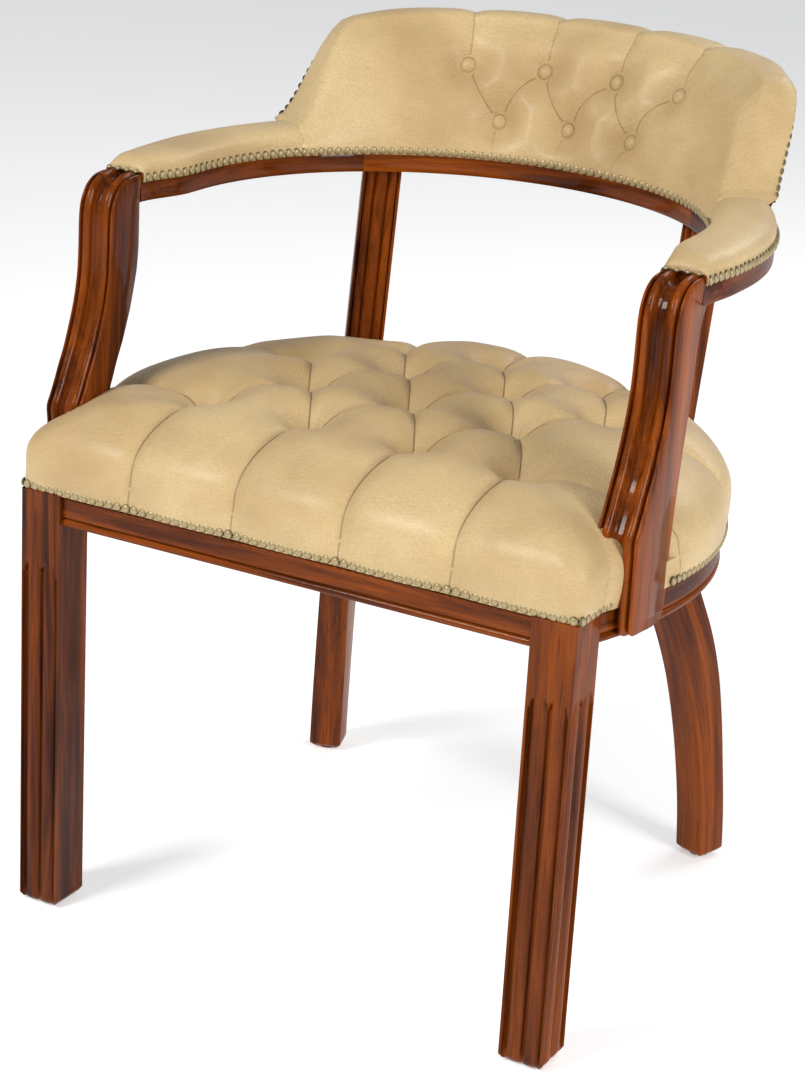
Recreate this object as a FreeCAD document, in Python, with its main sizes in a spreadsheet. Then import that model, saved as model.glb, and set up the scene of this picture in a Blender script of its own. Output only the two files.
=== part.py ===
import FreeCAD, Part
import math
import os
import re
import Sketcher

# Upholstered armchair: mahogany frame, buttoned leather seat, horseshoe arm rail and low padded back.
# Millimetres, +Z up, +Y towards the back, origin on the floor in the middle of the chair.
# Left and right are the sitter's: the right-hand pieces stand at +X seen from the front.

SIZES = {
    # overall plan
    "leg_reach": (280.0, "half width over the front legs"),
    "seat_centre": (185.0, "front leg face to the centre of the round of the seat"),
    "seat_flare": (24.5, "how much the side rails sweep out behind the front legs"),
    # front legs and seat rails
    "leg_width": (42.5, "front leg, across"),
    "leg_depth": (45.0, "front leg, front to back"),
    "rail_bottom": (387.0, "floor to the underside of the seat rails"),
    "rail_height": (53.0, "height of the seat rails"),
    "rail_thick": (28.0, "thickness of the seat rails"),
    "rebate": (1.5, "leg face set back under the leather"),
    "wood_show": (29.0, "rail height left bare below the leather"),
    "rail_setback": (4.0, "front rail behind the leg face"),
    "tenon_thick": (10.0, "rail tenon, thickness"),
    "tenon_high": (34.0, "rail tenon, height"),
    "tenon_long": (20.0, "rail tenon, length"),
    "side_tenon": (10.0, "side rail tenon, length"),
    "tenon_offset": (6.0, "side rail tenon outside the middle of the front leg"),
    "tenon_up": (8.0, "rail tenon above the underside of the rail"),
    "joint_gap": (0.15, "glue clearance round a tenon or dowel"),
    "reed_radius": (5.5, "radius of the flutes in the front legs"),
    "reed_stop": (42.0, "flutes stop this far below the seat rails"),
    # rear legs
    "leg_angle": (37.0, "rear legs off straight back, about the centre of the seat, degrees"),
    "foot_reach": (65.5, "middle of a rear foot outside the round of the seat"),
    "foot_size": (34.0, "rear leg at the floor, square"),
    "leg_turn": (18.0, "rear leg turned about the vertical, degrees"),
    "bend_reach": (37.0, "middle of a rear leg at its bend, outside the round of the seat"),
    "bend_drop": (187.0, "bend of the rear leg below the seat rails"),
    "bend_depth": (46.0, "rear leg at the bend, front to back"),
    "top_inset": (30.0, "middle of a rear leg at the rails, inside the round of the seat"),
    "top_depth": (46.0, "rear leg at the seat rail, front to back"),
    "split_angle": (24.0, "half angle of the back seat rail, degrees"),
    "glide_thick": (3.0, "thickness of the glides under the feet"),
    "glide_radius": (10.0, "radius of the glides"),
    # arm posts
    "post_inset": (3.5, "outer face of the arm posts inside the widest line of the seat"),
    "post_width": (39.5, "arm post, across"),
    "post_foot": (60.0, "front of the arm post at the seat rail"),
    "post_heel": (132.0, "back of the arm post at the seat rail"),
    "post_front": (105.0, "front of the arm post below the scroll"),
    "post_back": (152.0, "back face of the arm post under the arm"),
    "post_body": (44.0, "depth of the inner half of the arm post"),
    "post_swell": (38.0, "swell of the arm post above the seat rails"),
    "scroll_radius": (36.0, "radius of the scroll at the top of the arm post"),
    "lap_depth": (19.0, "part of the arm post that laps outside the rail"),
    # arm rail, a horseshoe
    "bow_behind": (52.0, "centre of the horseshoe behind the centre of the seat"),
    "arm_swell": (5.0, "how much the arms swell out past the arm posts"),
    "arm_wide": (57.0, "width of the horseshoe"),
    "arm_rise": (216.0, "underside of the horseshoe above the seat rails"),
    "bow_thick": (27.0, "thickness of the horseshoe"),
    "bow_split": (45.0, "half angle of the middle piece of the horseshoe, degrees"),
    "arm_taper": (210.0, "where the arm reaches its full width, behind the front leg face"),
    # back posts
    "back_post_wide": (38.0, "back post, across"),
    "back_post_deep": (26.0, "back post, front to back"),
    "back_post_angle": (36.3, "feet of the back posts off straight back, degrees"),
    "back_post_inset": (5.6, "heads of the back posts inside the joints of the horseshoe, degrees"),
    "back_post_turn": (32.0, "back post turned about the vertical, degrees"),
    # padded back
    "back_rise": (123.0, "top of the padded back above the horseshoe, at the middle"),
    "crest_drop": (13.0, "how much lower the shoulders are than the middle"),
    "shoulder_rise": (21.0, "end of the back above the horseshoe, where it meets the arm pad"),
    "shoulder_start": (45.0, "angle where the shoulder begins to fall, degrees"),
    "back_half_angle": (60.0, "half angle of the padded back, degrees"),
    "back_lean": (0.43, "outward lean of the back, run over rise"),
    "board_thick": (14.0, "thickness of the back board"),
    "board_inset": (7.0, "back board inside the outer edge of the horseshoe"),
    "board_share": (0.86, "height of the back board as a share of the padded back"),
    "outside_panel": (3.0, "thickness of the padded leather on the outside of the back"),
    "panel_margin": (14.0, "bare wood round the outside leather"),
    # leather and filling
    "hide": (1.5, "thickness of the leather"),
    "soft_gap": (0.4, "clearance of soft pieces from the frame"),
    "seat_overhang": (12.0, "how far the seat swells out over the rails"),
    "seat_rise": (65.0, "top of the seat above the rails"),
    "seat_edge_round": (34.0, "round of the top edge of the seat"),
    "pad_height": (21.0, "height of the arm pads above the horseshoe"),
    "web_wide": (50.0, "width of the webbing"),
    "web_thick": (2.0, "thickness of the webbing"),
    "button_radius": (7.0, "radius of the covered buttons"),
    "button_height": (4.0, "height of the covered buttons"),
    "button_pitch": (108.0, "distance between the seat buttons across"),
    "button_first": (118.0, "front leg face to the first row of seat buttons"),
    "button_row": (88.0, "distance between the rows of seat buttons"),
    "button_depth": (25.0, "how deep the seat buttons are drawn in"),
    "back_button_step": (15.4, "angle between the buttons of the back, degrees"),
    "back_button_low": (31.0, "lower row of back buttons above the horseshoe"),
    "back_button_high": (83.0, "upper row of back buttons above the horseshoe"),
    "back_button_depth": (12.0, "how deep the back buttons are drawn in"),
    "nail_radius": (4.3, "radius of the nail heads"),
    "nail_pitch": (9.2, "distance between nail heads"),
    "nail_height": (2.0, "height of the nail heads"),
    "lining": (0.8, "thickness of the dust cover"),
    "screw_radius": (2.5, "radius of the screw shanks"),
    "screw_spread": (32.0, "distance between the two screws of an arm post"),
    "block_screw": (44.0, "length of the corner block screws"),
    "dowel_radius": (5.0, "radius of the dowels"),
    "rail_dowel": (36.0, "length of the dowels in the seat rails"),
    "rail_dowel_radius": (4.0, "radius of the dowels in the seat rails"),
    "rail_dowel_up": (14.0, "lower dowel above the underside of the seat rails"),
    "rail_dowel_gap": (24.0, "distance between the two dowels of a seat rail joint"),
    "bow_dowel": (40.0, "length of the dowels in the horseshoe"),
    "bow_dowel_inset": (18.0, "dowels of the horseshoe from its edges"),
    "arm_dowel": (30.0, "length of the dowel from an arm post into the arm"),
    "post_dowel": (28.0, "length of the dowels of the back posts"),
}

doc = FreeCAD.newDocument("armchair")
sheet = doc.addObject("Spreadsheet::Sheet", "Sizes")
for row, (alias, (value, meaning)) in enumerate(SIZES.items(), 1):
    sheet.set("A%d" % row, alias)
    sheet.set("B%d" % row, str(value))
    sheet.set("C%d" % row, meaning)
    sheet.setAlias("B%d" % row, alias)
doc.recompute()

ALIASES = re.compile(r"\b(%s)\b" % "|".join(SIZES))


def cells(rule):
    """The rule with each size written as a cell of the sheet."""
    return ALIASES.sub(r"Sizes.\1", str(rule))


def size(rule):
    """What a rule on the sheet's sizes comes to now, in millimetres or degrees."""
    return float(sheet.evalExpression(cells(rule)))


def bind(item, **rules):
    """Ties properties of an object to rules on the sheet; Placement parts use _ for a dot."""
    for name, rule in rules.items():
        item.setExpression(name.replace("_", "."), cells(rule))


def place(item, x=0, y=0, z=0, turn=0):
    """Binds an object's place and its turn about the vertical."""
    item.Placement = FreeCAD.Placement(FreeCAD.Vector(0, 0, 0),
                                       FreeCAD.Rotation(FreeCAD.Vector(0, 0, 1), 1))
    bind(item, Placement_Base_x=x, Placement_Base_y=y, Placement_Base_z=z, Placement_Rotation_Angle=turn)
    return item


def block(x0, x1, y0, y1, z0, z1):
    """A box between six planes, each a rule on the sheet."""
    box = doc.addObject("Part::Box", "Block")
    bind(box, Length="(%s) - (%s)" % (x1, x0), Width="(%s) - (%s)" % (y1, y0), Height="(%s) - (%s)"
         % (z1, z0))
    return place(box, x0, y0, z0)


def drum(radius, z0, z1, x="0", y="0", start="0", sweep="360"):
    """An upright cylinder, or the sector of one that starts at an angle and sweeps on from it."""
    part = doc.addObject("Part::Cylinder", "Drum")
    bind(part, Radius=radius, Height="(%s) - (%s)" % (z1, z0), Angle=sweep)
    return place(part, x, y, z0, start)


def rod(radius, length, x, y, z, axis, turn="0"):
    """A cylinder lying along x or y from a point, then turned about the vertical."""
    part = doc.addObject("Part::Cylinder", "Rod")
    bind(part, Radius=radius, Height=length)
    tilt = FreeCAD.Rotation(FreeCAD.Vector(*((0, 1, 0) if axis == "x" else (-1, 0, 0))), 90)
    yaw = FreeCAD.Rotation(FreeCAD.Vector(0, 0, 1), size(turn))
    part.Placement = FreeCAD.Placement(FreeCAD.Vector(0, 0, 0), yaw * tilt)
    bind(part, Placement_Base_x=x, Placement_Base_y=y, Placement_Base_z=z)
    return part


def cut(base, *tools):
    """The base with each tool taken away."""
    for tool in tools:
        result = doc.addObject("Part::Cut", "Cut")
        result.Base, result.Tool = base, tool
        base = result
    return base


def fuse(*shapes):
    result = doc.addObject("Part::MultiFuse", "Fuse")
    result.Shapes = list(shapes)
    result.Refine = True
    return result


def common(*shapes):
    result = doc.addObject("Part::MultiCommon", "Common")
    result.Shapes = list(shapes)
    return result


def mirrored(item):
    """The same piece on the other side of the chair."""
    twin = doc.addObject("Part::Mirroring", "Twin")
    twin.Source = item
    twin.Base = FreeCAD.Vector(0, 0, 0)
    twin.Normal = FreeCAD.Vector(1, 0, 0)
    return twin


nodes = []


def node(name, item):
    """Gives a finished sub-part the name of its file."""
    item.Label = name
    nodes.append(item)
    return item


def pair(name, right):
    """A right-hand sub-part and its mirror image on the left."""
    node(name + "_right", right)
    node(name + "_left", mirrored(right))
    return right


def sketch_on(body, role, name, **offset):
    """A sketch on one of the body's own origin planes, moved and turned by rules on the sheet."""
    sketch = body.newObject("Sketcher::SketchObject", name)
    plane = [p for p in body.Origin.OriginFeatures if p.Role == role][0]
    sketch.AttachmentSupport = (plane, [""])
    sketch.MapMode = "FlatFace"
    sketch.AttachmentOffset = FreeCAD.Placement(FreeCAD.Vector(0, 0, 0),
                                                FreeCAD.Rotation(FreeCAD.Vector(0, 0, 1), 1))
    bind(sketch, AttachmentOffset_Rotation_Angle=offset.get("turn", "0"),
         AttachmentOffset_Base_x=offset.get("x", "0"),
         AttachmentOffset_Base_y=offset.get("y", "0"), AttachmentOffset_Base_z=offset.get("z", "0"))
    return sketch


def draw(sketch, corners):
    """Closes an outline through corners (u, v, radius): each rule is bound to its own constraint.

    The radius bends the stretch from this corner to the next: 0 is a straight line, a positive
    radius bows to the right of the way along the outline and a negative one to the left.
    """
    spots = [FreeCAD.Vector(size(u), size(v), 0) for u, v, _ in corners]
    for i, (_, _, bend) in enumerate(corners):
        a, b = spots[i], spots[(i + 1) % len(spots)]
        radius = size(bend)
        if radius == 0:
            sketch.addGeometry(Part.LineSegment(a, b), False)
            continue
        way = b - a
        side = FreeCAD.Vector(way.y, -way.x, 0).normalize() * math.copysign(1, radius)
        rise = abs(radius) - math.sqrt(radius ** 2 - way.Length ** 2 / 4)
        sketch.addGeometry(Part.Arc(a, (a + b) * 0.5 + side * rise, b), False)
    start, end = {}, {}
    for i, (_, _, bend) in enumerate(corners):
        backwards = size(bend) < 0
        start[i], end[i] = (2, 1) if backwards else (1, 2)
    for i, (u, v, bend) in enumerate(corners):
        after = (i + 1) % len(corners)
        sketch.addConstraint(Sketcher.Constraint("Coincident", i, end[i], after, start[after]))
        for kind, rule, axis in (("DistanceX", u, -2), ("DistanceY", v, -1)):
            if rule == "0":
                sketch.addConstraint(Sketcher.Constraint("PointOnObject", i, start[i], axis))
                continue
            at = sketch.addConstraint(Sketcher.Constraint(kind, -1, 1, i, start[i], size(rule)))
            sketch.setExpression("Constraints[%d]" % at, cells(rule))
        if size(bend) != 0:
            at = sketch.addConstraint(Sketcher.Constraint("Radius", i, abs(size(bend))))
            sketch.setExpression("Constraints[%d]" % at, cells("abs(%s)" % bend))


def padded(name, role, corners, length, **offset):
    """A body that is one closed outline drawn out by a length."""
    body = doc.addObject("PartDesign::Body", name)
    sketch = sketch_on(body, role, name + "Outline", **offset)
    draw(sketch, corners)
    pad = body.newObject("PartDesign::Pad", name + "Pad")
    pad.Profile = sketch
    bind(pad, Length=length)
    return body


# Heights and places that many pieces share
SEAT_R = "(leg_reach - rebate + seat_flare)"
SWEEP = "(((seat_centre - leg_depth) ^ 2 + seat_flare ^ 2) / (2 * seat_flare))"
POST_OUT = "(%s - post_inset)" % SEAT_R
POST_IN = "(%s - post_width)" % POST_OUT
POST_LAP = "(%s - lap_depth)" % POST_OUT
BOW_OUT = "(%s + arm_swell)" % POST_OUT
BOW_IN = "(%s - arm_wide)" % BOW_OUT
BOARD_OUT = "(%s - board_inset)" % BOW_OUT
BACKMOST = "(seat_centre + bow_behind + %s + back_lean * back_rise * board_share + hide)" % BOARD_OUT
FRONT = "((seat_overhang + hide - rail_setback - %s) / 2)" % BACKMOST
SEAT_Y = "(%s + seat_centre)" % FRONT
BOW_Y = "(%s + bow_behind)" % SEAT_Y
RAIL_TOP = "(rail_bottom + rail_height)"
RAIL_MID = "(%s - rail_thick / 2)" % SEAT_R
BARE_TOP = "(rail_bottom + wood_show)"
BOW_LOW = "(%s + arm_rise)" % RAIL_TOP
BOW_TOP = "(%s + bow_thick)" % BOW_LOW
CROWN = "(%s + seat_rise)" % RAIL_TOP
SWELL = "(%s + post_swell)" % RAIL_TOP
LEG_IN = "(leg_reach - leg_width)"
LEG_BACK = "(%s + leg_depth)" % FRONT
TENON_Z = "(rail_bottom + tenon_up)"
HEAD_ANGLE = "(bow_split - back_post_inset)"


def seat_outline(grow):
    """The seat frame seen from above: straight front, swept sides and a round back."""
    wide = "(leg_reach - rebate + %s)" % grow
    near = "(" + FRONT + " + rail_setback - (%s))" % grow
    radius = "(" + SEAT_R + " + %s)" % grow
    sweep = "(" + SWEEP + " + %s)" % grow
    return [("-" + wide, near, "0"), (wide, near, "0"), (wide, LEG_BACK, sweep), (radius, SEAT_Y, radius),
            ("0", SEAT_Y + " + " + radius,
             radius), ("-" + radius, SEAT_Y, sweep), ("-" + wide, LEG_BACK, "0")]


# ------------------------------------------------------------------ front legs
def front_leg():
    low = block(LEG_IN, "leg_reach", FRONT, LEG_BACK, "glide_thick", BARE_TOP)
    high = block(LEG_IN, "leg_reach - rebate", FRONT + " + rail_setback", LEG_BACK, BARE_TOP, RAIL_TOP)
    leg = fuse(low, high)
    flutes = []
    for share in ("0.3", "0.7"):
        flutes.append(drum("reed_radius", "0", "rail_bottom - reed_stop",
                           LEG_IN + " + leg_width * " + share, FRONT))
        flutes.append(drum("reed_radius", "0", "rail_bottom - reed_stop", "leg_reach",
                           FRONT + " + leg_depth * " + share))
    grown = "(tenon_thick / 2 + joint_gap)"
    mid_x = LEG_IN + " + leg_width / 2"
    mid_y = FRONT + " + rail_setback + rail_thick / 2"
    deep = "(tenon_long + joint_gap)"
    low_z, high_z = TENON_Z + " - joint_gap", TENON_Z + " + tenon_high + joint_gap"
    front_mortise = block(LEG_IN + " - 1", LEG_IN + " + " + deep, mid_y + " - " + grown,
                          mid_y + " + " + grown, low_z, high_z)
    side_mortise = block(mid_x + " + tenon_offset - " + grown, mid_x + " + tenon_offset + " + grown,
                         LEG_BACK + " - side_tenon", LEG_BACK + " + 1",
                         low_z, high_z)
    return cut(leg, *flutes, front_mortise, side_mortise)


pair("front_leg", front_leg())


# ------------------------------------------------------------------ joinery
# One rule makes a peg and, with a gap, its hole.
def on_ring(radius, centre, angle):
    """Rules for a point at a radius, turned by an angle off straight back."""
    return "(%s * sin(%s))" % (radius, angle), "(%s + %s * cos(%s))" % (centre, radius, angle)


def leg_top():
    """The middle of a rear leg's stub, well inside the thickness of the rail."""
    return on_ring(RAIL_MID, SEAT_Y, "leg_angle")


def leg_socket(gap):
    """The stub at the top of a rear leg, and with a gap the mortise that takes it."""
    half = "(tenon_thick * 0.7 + %s)" % gap
    stub = doc.addObject("Part::Box", "Stub")
    bind(stub, Length="2 * " + half, Width="2 * " + half, Height="tenon_high + " + gap)
    x, y = leg_top()
    place(stub, "%s - %s * (cos(leg_turn) + sin(leg_turn))" % (x, half),
          "%s - %s * (cos(leg_turn) - sin(leg_turn))" % (y, half),
          "rail_bottom", "-leg_turn")
    return stub


def joint_holes(gap):
    """Two dowels across each joint of the seat rails, or with a gap their holes."""
    dowels = []
    for height in ("rail_dowel_up", "rail_dowel_up + rail_dowel_gap"):
        along = "(90 - split_angle)"
        dowels.append(rod("rail_dowel_radius + " + gap, "rail_dowel + 2 * " + gap,
                          RAIL_MID + " * cos%s + (rail_dowel / 2 + %s) * sin%s" % (along, gap, along),
                          SEAT_Y + " + " + RAIL_MID + " * sin%s - (rail_dowel / 2 + %s) * cos%s"
                          % (along, gap, along),
                          "rail_bottom + " + height, "x", "180 - split_angle"))
    return dowels


def post_screws(gap):
    """Two screws from inside the side rail into each arm post."""
    inner = "(" + SEAT_R + " - rail_thick - 6)"
    mid_y = "(" + FRONT + " + (post_foot + post_heel) / 2)"
    screws = []
    for shift in ("-screw_spread / 2", "screw_spread / 2"):
        screws.append(rod("screw_radius + " + gap, POST_OUT + " - 8 - " + inner, inner,
                          mid_y + " + " + shift,
                          "rail_bottom + rail_height / 2", "x"))
    return screws


def bow_dowels(gap):
    """Dowels across the joints of the horseshoe and into the top of each arm post."""
    end = "(90 - bow_split)"
    dowels = []
    for radius in ("(" + BOW_IN + " + bow_dowel_inset)", "(" + BOW_OUT + " - bow_dowel_inset)"):
        dowels.append(rod("dowel_radius + " + gap, "bow_dowel + 2 * " + gap,
                          radius + " * cos%s + (bow_dowel / 2 + %s) * sin%s" % (end, gap, end),
                          BOW_Y + " + " + radius + " * sin%s - (bow_dowel / 2 + %s) * cos%s"
                          % (end, gap, end),
                          BOW_LOW + " + bow_thick / 2", "x", "180 - bow_split"))
    dowels.append(rod("dowel_radius + " + gap, "arm_dowel + 2 * " + gap, POST_OUT + " - post_width / 2",
                      FRONT + " + post_back - arm_dowel / 2 - " + gap, BOW_LOW + " + bow_thick / 2", "y"))
    return dowels


def post_foot():
    return on_ring(RAIL_MID, SEAT_Y, "back_post_angle")


def post_head():
    return on_ring("(%s - arm_wide / 2)" % BOW_OUT, BOW_Y, HEAD_ANGLE)


def back_post_dowel(gap, top=False):
    """An upright dowel at the foot or at the top of a back post, or with a gap its hole."""
    middle = BOW_LOW if top else RAIL_TOP
    x, y = post_head() if top else post_foot()
    return drum("dowel_radius + " + gap, middle + " - post_dowel / 2 - " + gap,
                middle + " + post_dowel / 2 + " + gap, x, y)


def block_screws(gap):
    """A screw through each front corner block into the side rail."""
    return [rod("screw_radius + " + gap, "block_screw", LEG_IN + " - 18", LEG_BACK + " + 16",
                "rail_bottom + rail_height / 2", "x")]


# ------------------------------------------------------------------ seat rails
def front_rail():
    rail = block("-" + LEG_IN, LEG_IN, FRONT + " + rail_setback", FRONT + " + rail_setback + rail_thick",
                 "rail_bottom", RAIL_TOP)
    mid_y = FRONT + " + rail_setback + rail_thick / 2"
    tenon = block("-" + LEG_IN + " - tenon_long", LEG_IN + " + tenon_long", mid_y + " - tenon_thick / 2",
                  mid_y + " + tenon_thick / 2", TENON_Z, TENON_Z + " + tenon_high")
    return fuse(rail, tenon)


def ring(inner, outer, z0, z1, y, start, sweep):
    """A sector of a flat ring about a centre on the middle line."""
    return cut(drum(outer, z0, z1, "0", y, start, sweep), drum(inner, z0 + " - 1", z1 + " + 1", "0", y))


def side_rail():
    sweep_x = SEAT_R + " - " + SWEEP
    outer = drum(SWEEP, "rail_bottom", RAIL_TOP, sweep_x, SEAT_Y)
    hollow = drum(SWEEP + " - rail_thick", "rail_bottom - 1", RAIL_TOP + " + 1", sweep_x, SEAT_Y)
    strip = block(SEAT_R + " / 2", SEAT_R + " + 1", LEG_BACK, SEAT_Y, "rail_bottom", RAIL_TOP)
    swept = common(cut(outer, hollow), strip)
    round_end = ring(SEAT_R + " - rail_thick", SEAT_R, "rail_bottom", RAIL_TOP, SEAT_Y, "0",
                     "90 - split_angle")
    mid_x = LEG_IN + " + leg_width / 2 + tenon_offset"
    tenon = block(mid_x + " - tenon_thick / 2", mid_x + " + tenon_thick / 2",
                  LEG_BACK + " - side_tenon + joint_gap", LEG_BACK + " + 4",
                  TENON_Z, TENON_Z + " + tenon_high")
    rail = fuse(swept, round_end, tenon)
    housing = block(POST_LAP, SEAT_R + " + 2", FRONT + " + post_foot - 6",
                    FRONT + " + post_heel + joint_gap",
                    "rail_bottom - 1", RAIL_TOP + " + 1")
    return cut(rail, housing, leg_socket("joint_gap"), *joint_holes("joint_gap"), *post_screws("joint_gap"),
               back_post_dowel("joint_gap"), *block_screws("joint_gap"))


node("front_seat_rail", front_rail())
pair("side_seat_rail", side_rail())
back_ring = ring(SEAT_R + " - rail_thick", SEAT_R, "rail_bottom", RAIL_TOP, SEAT_Y, "90 - split_angle",
                 "2 * split_angle")
left_holes = [mirrored(hole) for hole in joint_holes("joint_gap")]
node("back_seat_rail", cut(back_ring, *joint_holes("joint_gap"), *left_holes))
right_dowels = joint_holes("0")
node("seat_rail_dowels", fuse(*right_dowels, *[mirrored(dowel) for dowel in right_dowels]))


# ------------------------------------------------------------------ rear legs
def rear_leg():
    """A sabre leg: level rectangles, turned a little outwards, joined by a smooth loft."""
    body = doc.addObject("PartDesign::Body", "RearLeg")
    bend = "(rail_bottom - bend_drop)"
    levels = [
        ("glide_thick", "foot_reach", "foot_size", "foot_size"),
        (bend + " / 2", "(0.4 * foot_reach + 0.6 * bend_reach) + 7", "foot_size", "foot_size + 2"),
        (bend, "bend_reach", "foot_size - 3", "bend_depth"),
        ("rail_bottom - bend_drop / 2", "(0.5 * bend_reach - 0.5 * top_inset)", "foot_size - 3",
         "bend_depth + 6"),
        ("rail_bottom", "-top_inset", "foot_size - 3", "top_depth"),
    ]
    sections = []
    for height, out, wide, deep in levels:
        along = "(%s + %s)" % (SEAT_R, out)
        sketch = sketch_on(body, "XY_Plane", "LegSection", x=along + " * sin(leg_angle)",
                           y=SEAT_Y + " + " + along + " * cos(leg_angle)",
                           z=height, turn="-leg_turn")
        half_u, half_v = "(%s) / 2" % wide, "(%s) / 2" % deep
        draw(sketch, [("-" + half_u, "-" + half_v, "0"), (half_u, "-" + half_v, "0"), (half_u, half_v, "0"),
                      ("-" + half_u, half_v, "0")])
        sections.append(sketch)
    loft = body.newObject("PartDesign::AdditiveLoft", "LegLoft")
    loft.Profile = sections[0]
    loft.Sections = sections[1:]
    return fuse(body, leg_socket("0"))


pair("rear_leg", rear_leg())


# ------------------------------------------------------------------ arm posts
def arm_post():
    """An S-shaped board on edge; its lower half is cut back to lap over the side rail."""
    outline = [
        (FRONT + " + post_foot + 10", "rail_bottom + 1", "0"),
        (FRONT + " + post_heel - 12", "rail_bottom + 1", "14"),
        (FRONT + " + post_heel", "rail_bottom + 13", "0"),
        (FRONT + " + post_heel", SWELL, "-400"),
        (FRONT + " + post_back - 6", SWELL + " + 90", "400"),
        (FRONT + " + post_back", BOW_LOW + " - 30", "0"),
        (FRONT + " + post_back", BOW_TOP, "0"),
        (FRONT + " + post_front + scroll_radius", BOW_TOP, "scroll_radius"),
        (FRONT + " + post_front", BOW_TOP + " - scroll_radius", "0"),
        (FRONT + " + post_front", SWELL + " + 112", "-95"),
        (FRONT + " + post_foot + 33", SWELL + " + 70", "0"),
        (FRONT + " + post_foot + 14", SWELL + " + 32", "88"),
        (FRONT + " + post_foot", SWELL + " - 6", "0"),
        (FRONT + " + post_foot", "rail_bottom + 13", "14"),
    ]
    board = padded("ArmPost", "YZ_Plane", outline, "post_width", z=POST_IN)
    notch = block(POST_IN + " - 1", POST_LAP, FRONT, FRONT + " + post_back + 20", "rail_bottom - 5",
                  RAIL_TOP)
    slimmer = [
        (FRONT + " + post_back", SWELL + " + 132", "-95"),
        (FRONT + " + post_foot + post_body + 33", SWELL + " + 70", "0"),
        (FRONT + " + post_foot + post_body + 14", SWELL + " + 32", "88"),
        (FRONT + " + post_foot + post_body", SWELL + " - 6", "0"),
        (FRONT + " + post_foot + post_body", RAIL_TOP, "0"),
        (FRONT + " + post_back + 20", RAIL_TOP, "0"),
        (FRONT + " + post_back + 20", SWELL + " + 132", "0"),
    ]
    hollow = padded("PostHollow", "YZ_Plane", slimmer, "post_width - lap_depth", z=POST_IN)
    return cut(board, notch, hollow, *post_screws("joint_gap"), *bow_dowels("joint_gap"))


pair("arm_post", arm_post())


# ------------------------------------------------------------------ horseshoe arm rail
def bow_side():
    """The arm: tapered to the post in front, a sector of the horseshoe behind."""
    end = "(90 - bow_split)"
    outline = [
        (POST_IN, FRONT + " + post_back", "0"),
        (POST_OUT, FRONT + " + post_back", "0"),
        (BOW_OUT, FRONT + " + arm_taper", "0"),
        (BOW_OUT, BOW_Y, BOW_OUT),
        (BOW_OUT + " * cos%s" % end, BOW_Y + " + " + BOW_OUT + " * sin%s" % end, "0"),
        (BOW_IN + " * cos%s" % end, BOW_Y + " + " + BOW_IN + " * sin%s" % end, "-" + BOW_IN),
        (BOW_IN, BOW_Y, "0"),
        (BOW_IN, FRONT + " + arm_taper", "0"),
    ]
    return padded("BowSide", "XY_Plane", outline, "bow_thick", z=BOW_LOW)


pair("arm_rail", cut(bow_side(), *bow_dowels("joint_gap")))
bow_ring = ring(BOW_IN, BOW_OUT, BOW_LOW, BOW_TOP, BOW_Y, "90 - bow_split", "2 * bow_split")
bow_holes = bow_dowels("joint_gap") + [back_post_dowel("joint_gap", top=True)]
node("bow_centre_rail", cut(bow_ring, *bow_holes, *[mirrored(hole) for hole in bow_holes]))


# ------------------------------------------------------------------ back posts
def back_post():
    """A fluted post that leans back from the seat rail to the horseshoe."""
    body = doc.addObject("PartDesign::Body", "BackPost")
    sections = []
    for height, (x, y) in ((RAIL_TOP, post_foot()), (BOW_LOW, post_head())):
        sketch = sketch_on(body, "XY_Plane", "PostSection", x=x, y=y, z=height, turn="-back_post_turn")
        half_u, half_v = "back_post_wide / 2", "back_post_deep / 2"
        draw(sketch, [("-" + half_u, "-" + half_v, "0"), (half_u, "-" + half_v, "0"), (half_u, half_v, "0"),
                      ("-" + half_u, half_v, "0")])
        sections.append(sketch)
    loft = body.newObject("PartDesign::AdditiveLoft", "PostLoft")
    loft.Profile = sections[0]
    loft.Sections = sections[1:]
    return cut(body, back_post_dowel("joint_gap"), back_post_dowel("joint_gap", top=True))


pair("back_post", back_post())
pegs = bow_dowels("0") + [back_post_dowel("0"), back_post_dowel("0", top=True)]
node("frame_dowels", fuse(*pegs, *[mirrored(peg) for peg in pegs]))


# ------------------------------------------------------------------ blocks, screws and glides
def corner_block():
    """A glue block across the corner between the front rail and the side rail."""
    near = FRONT + " + rail_setback + rail_thick"
    corner = padded("CornerBlock", "XY_Plane", [
        (LEG_IN + " - 62", near,
         "0"), (LEG_IN, near, "0"), (LEG_IN, LEG_BACK, "0"), (LEG_IN + " + 30", LEG_BACK, "0"),
        (LEG_IN + " + 30", LEG_BACK + " + 38", "0"), (LEG_IN + " + 4", LEG_BACK + " + 38", "0")],
        "rail_height - 18", z="rail_bottom + 6")
    curve = drum(SWEEP + " - rail_thick", "rail_bottom", RAIL_TOP, SEAT_R + " - " + SWEEP, SEAT_Y)
    return cut(common(corner, curve), *block_screws("joint_gap"))


pair("corner_block", corner_block())
shanks = post_screws("0") + block_screws("0")
node("frame_screws", fuse(*shanks, *[mirrored(shank) for shank in shanks]))
feet = [drum("glide_radius", "0", "glide_thick", LEG_IN + " + leg_width / 2", FRONT + " + leg_depth / 2"),
        drum("glide_radius", "0", "glide_thick", *on_ring("(%s + foot_reach)" % SEAT_R, SEAT_Y,
                                                          "leg_angle"))]
node("foot_glides", fuse(*feet, *[mirrored(foot) for foot in feet]))


# ------------------------------------------------------------------ seat: webbing, filling, leather
def slab(name, grow, z0, z1):
    """A slab with the outline of the seat, grown by a distance."""
    return padded(name, "XY_Plane", seat_outline(grow), "(%s) - (%s)" % (z1, z0), z=z0)


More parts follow.
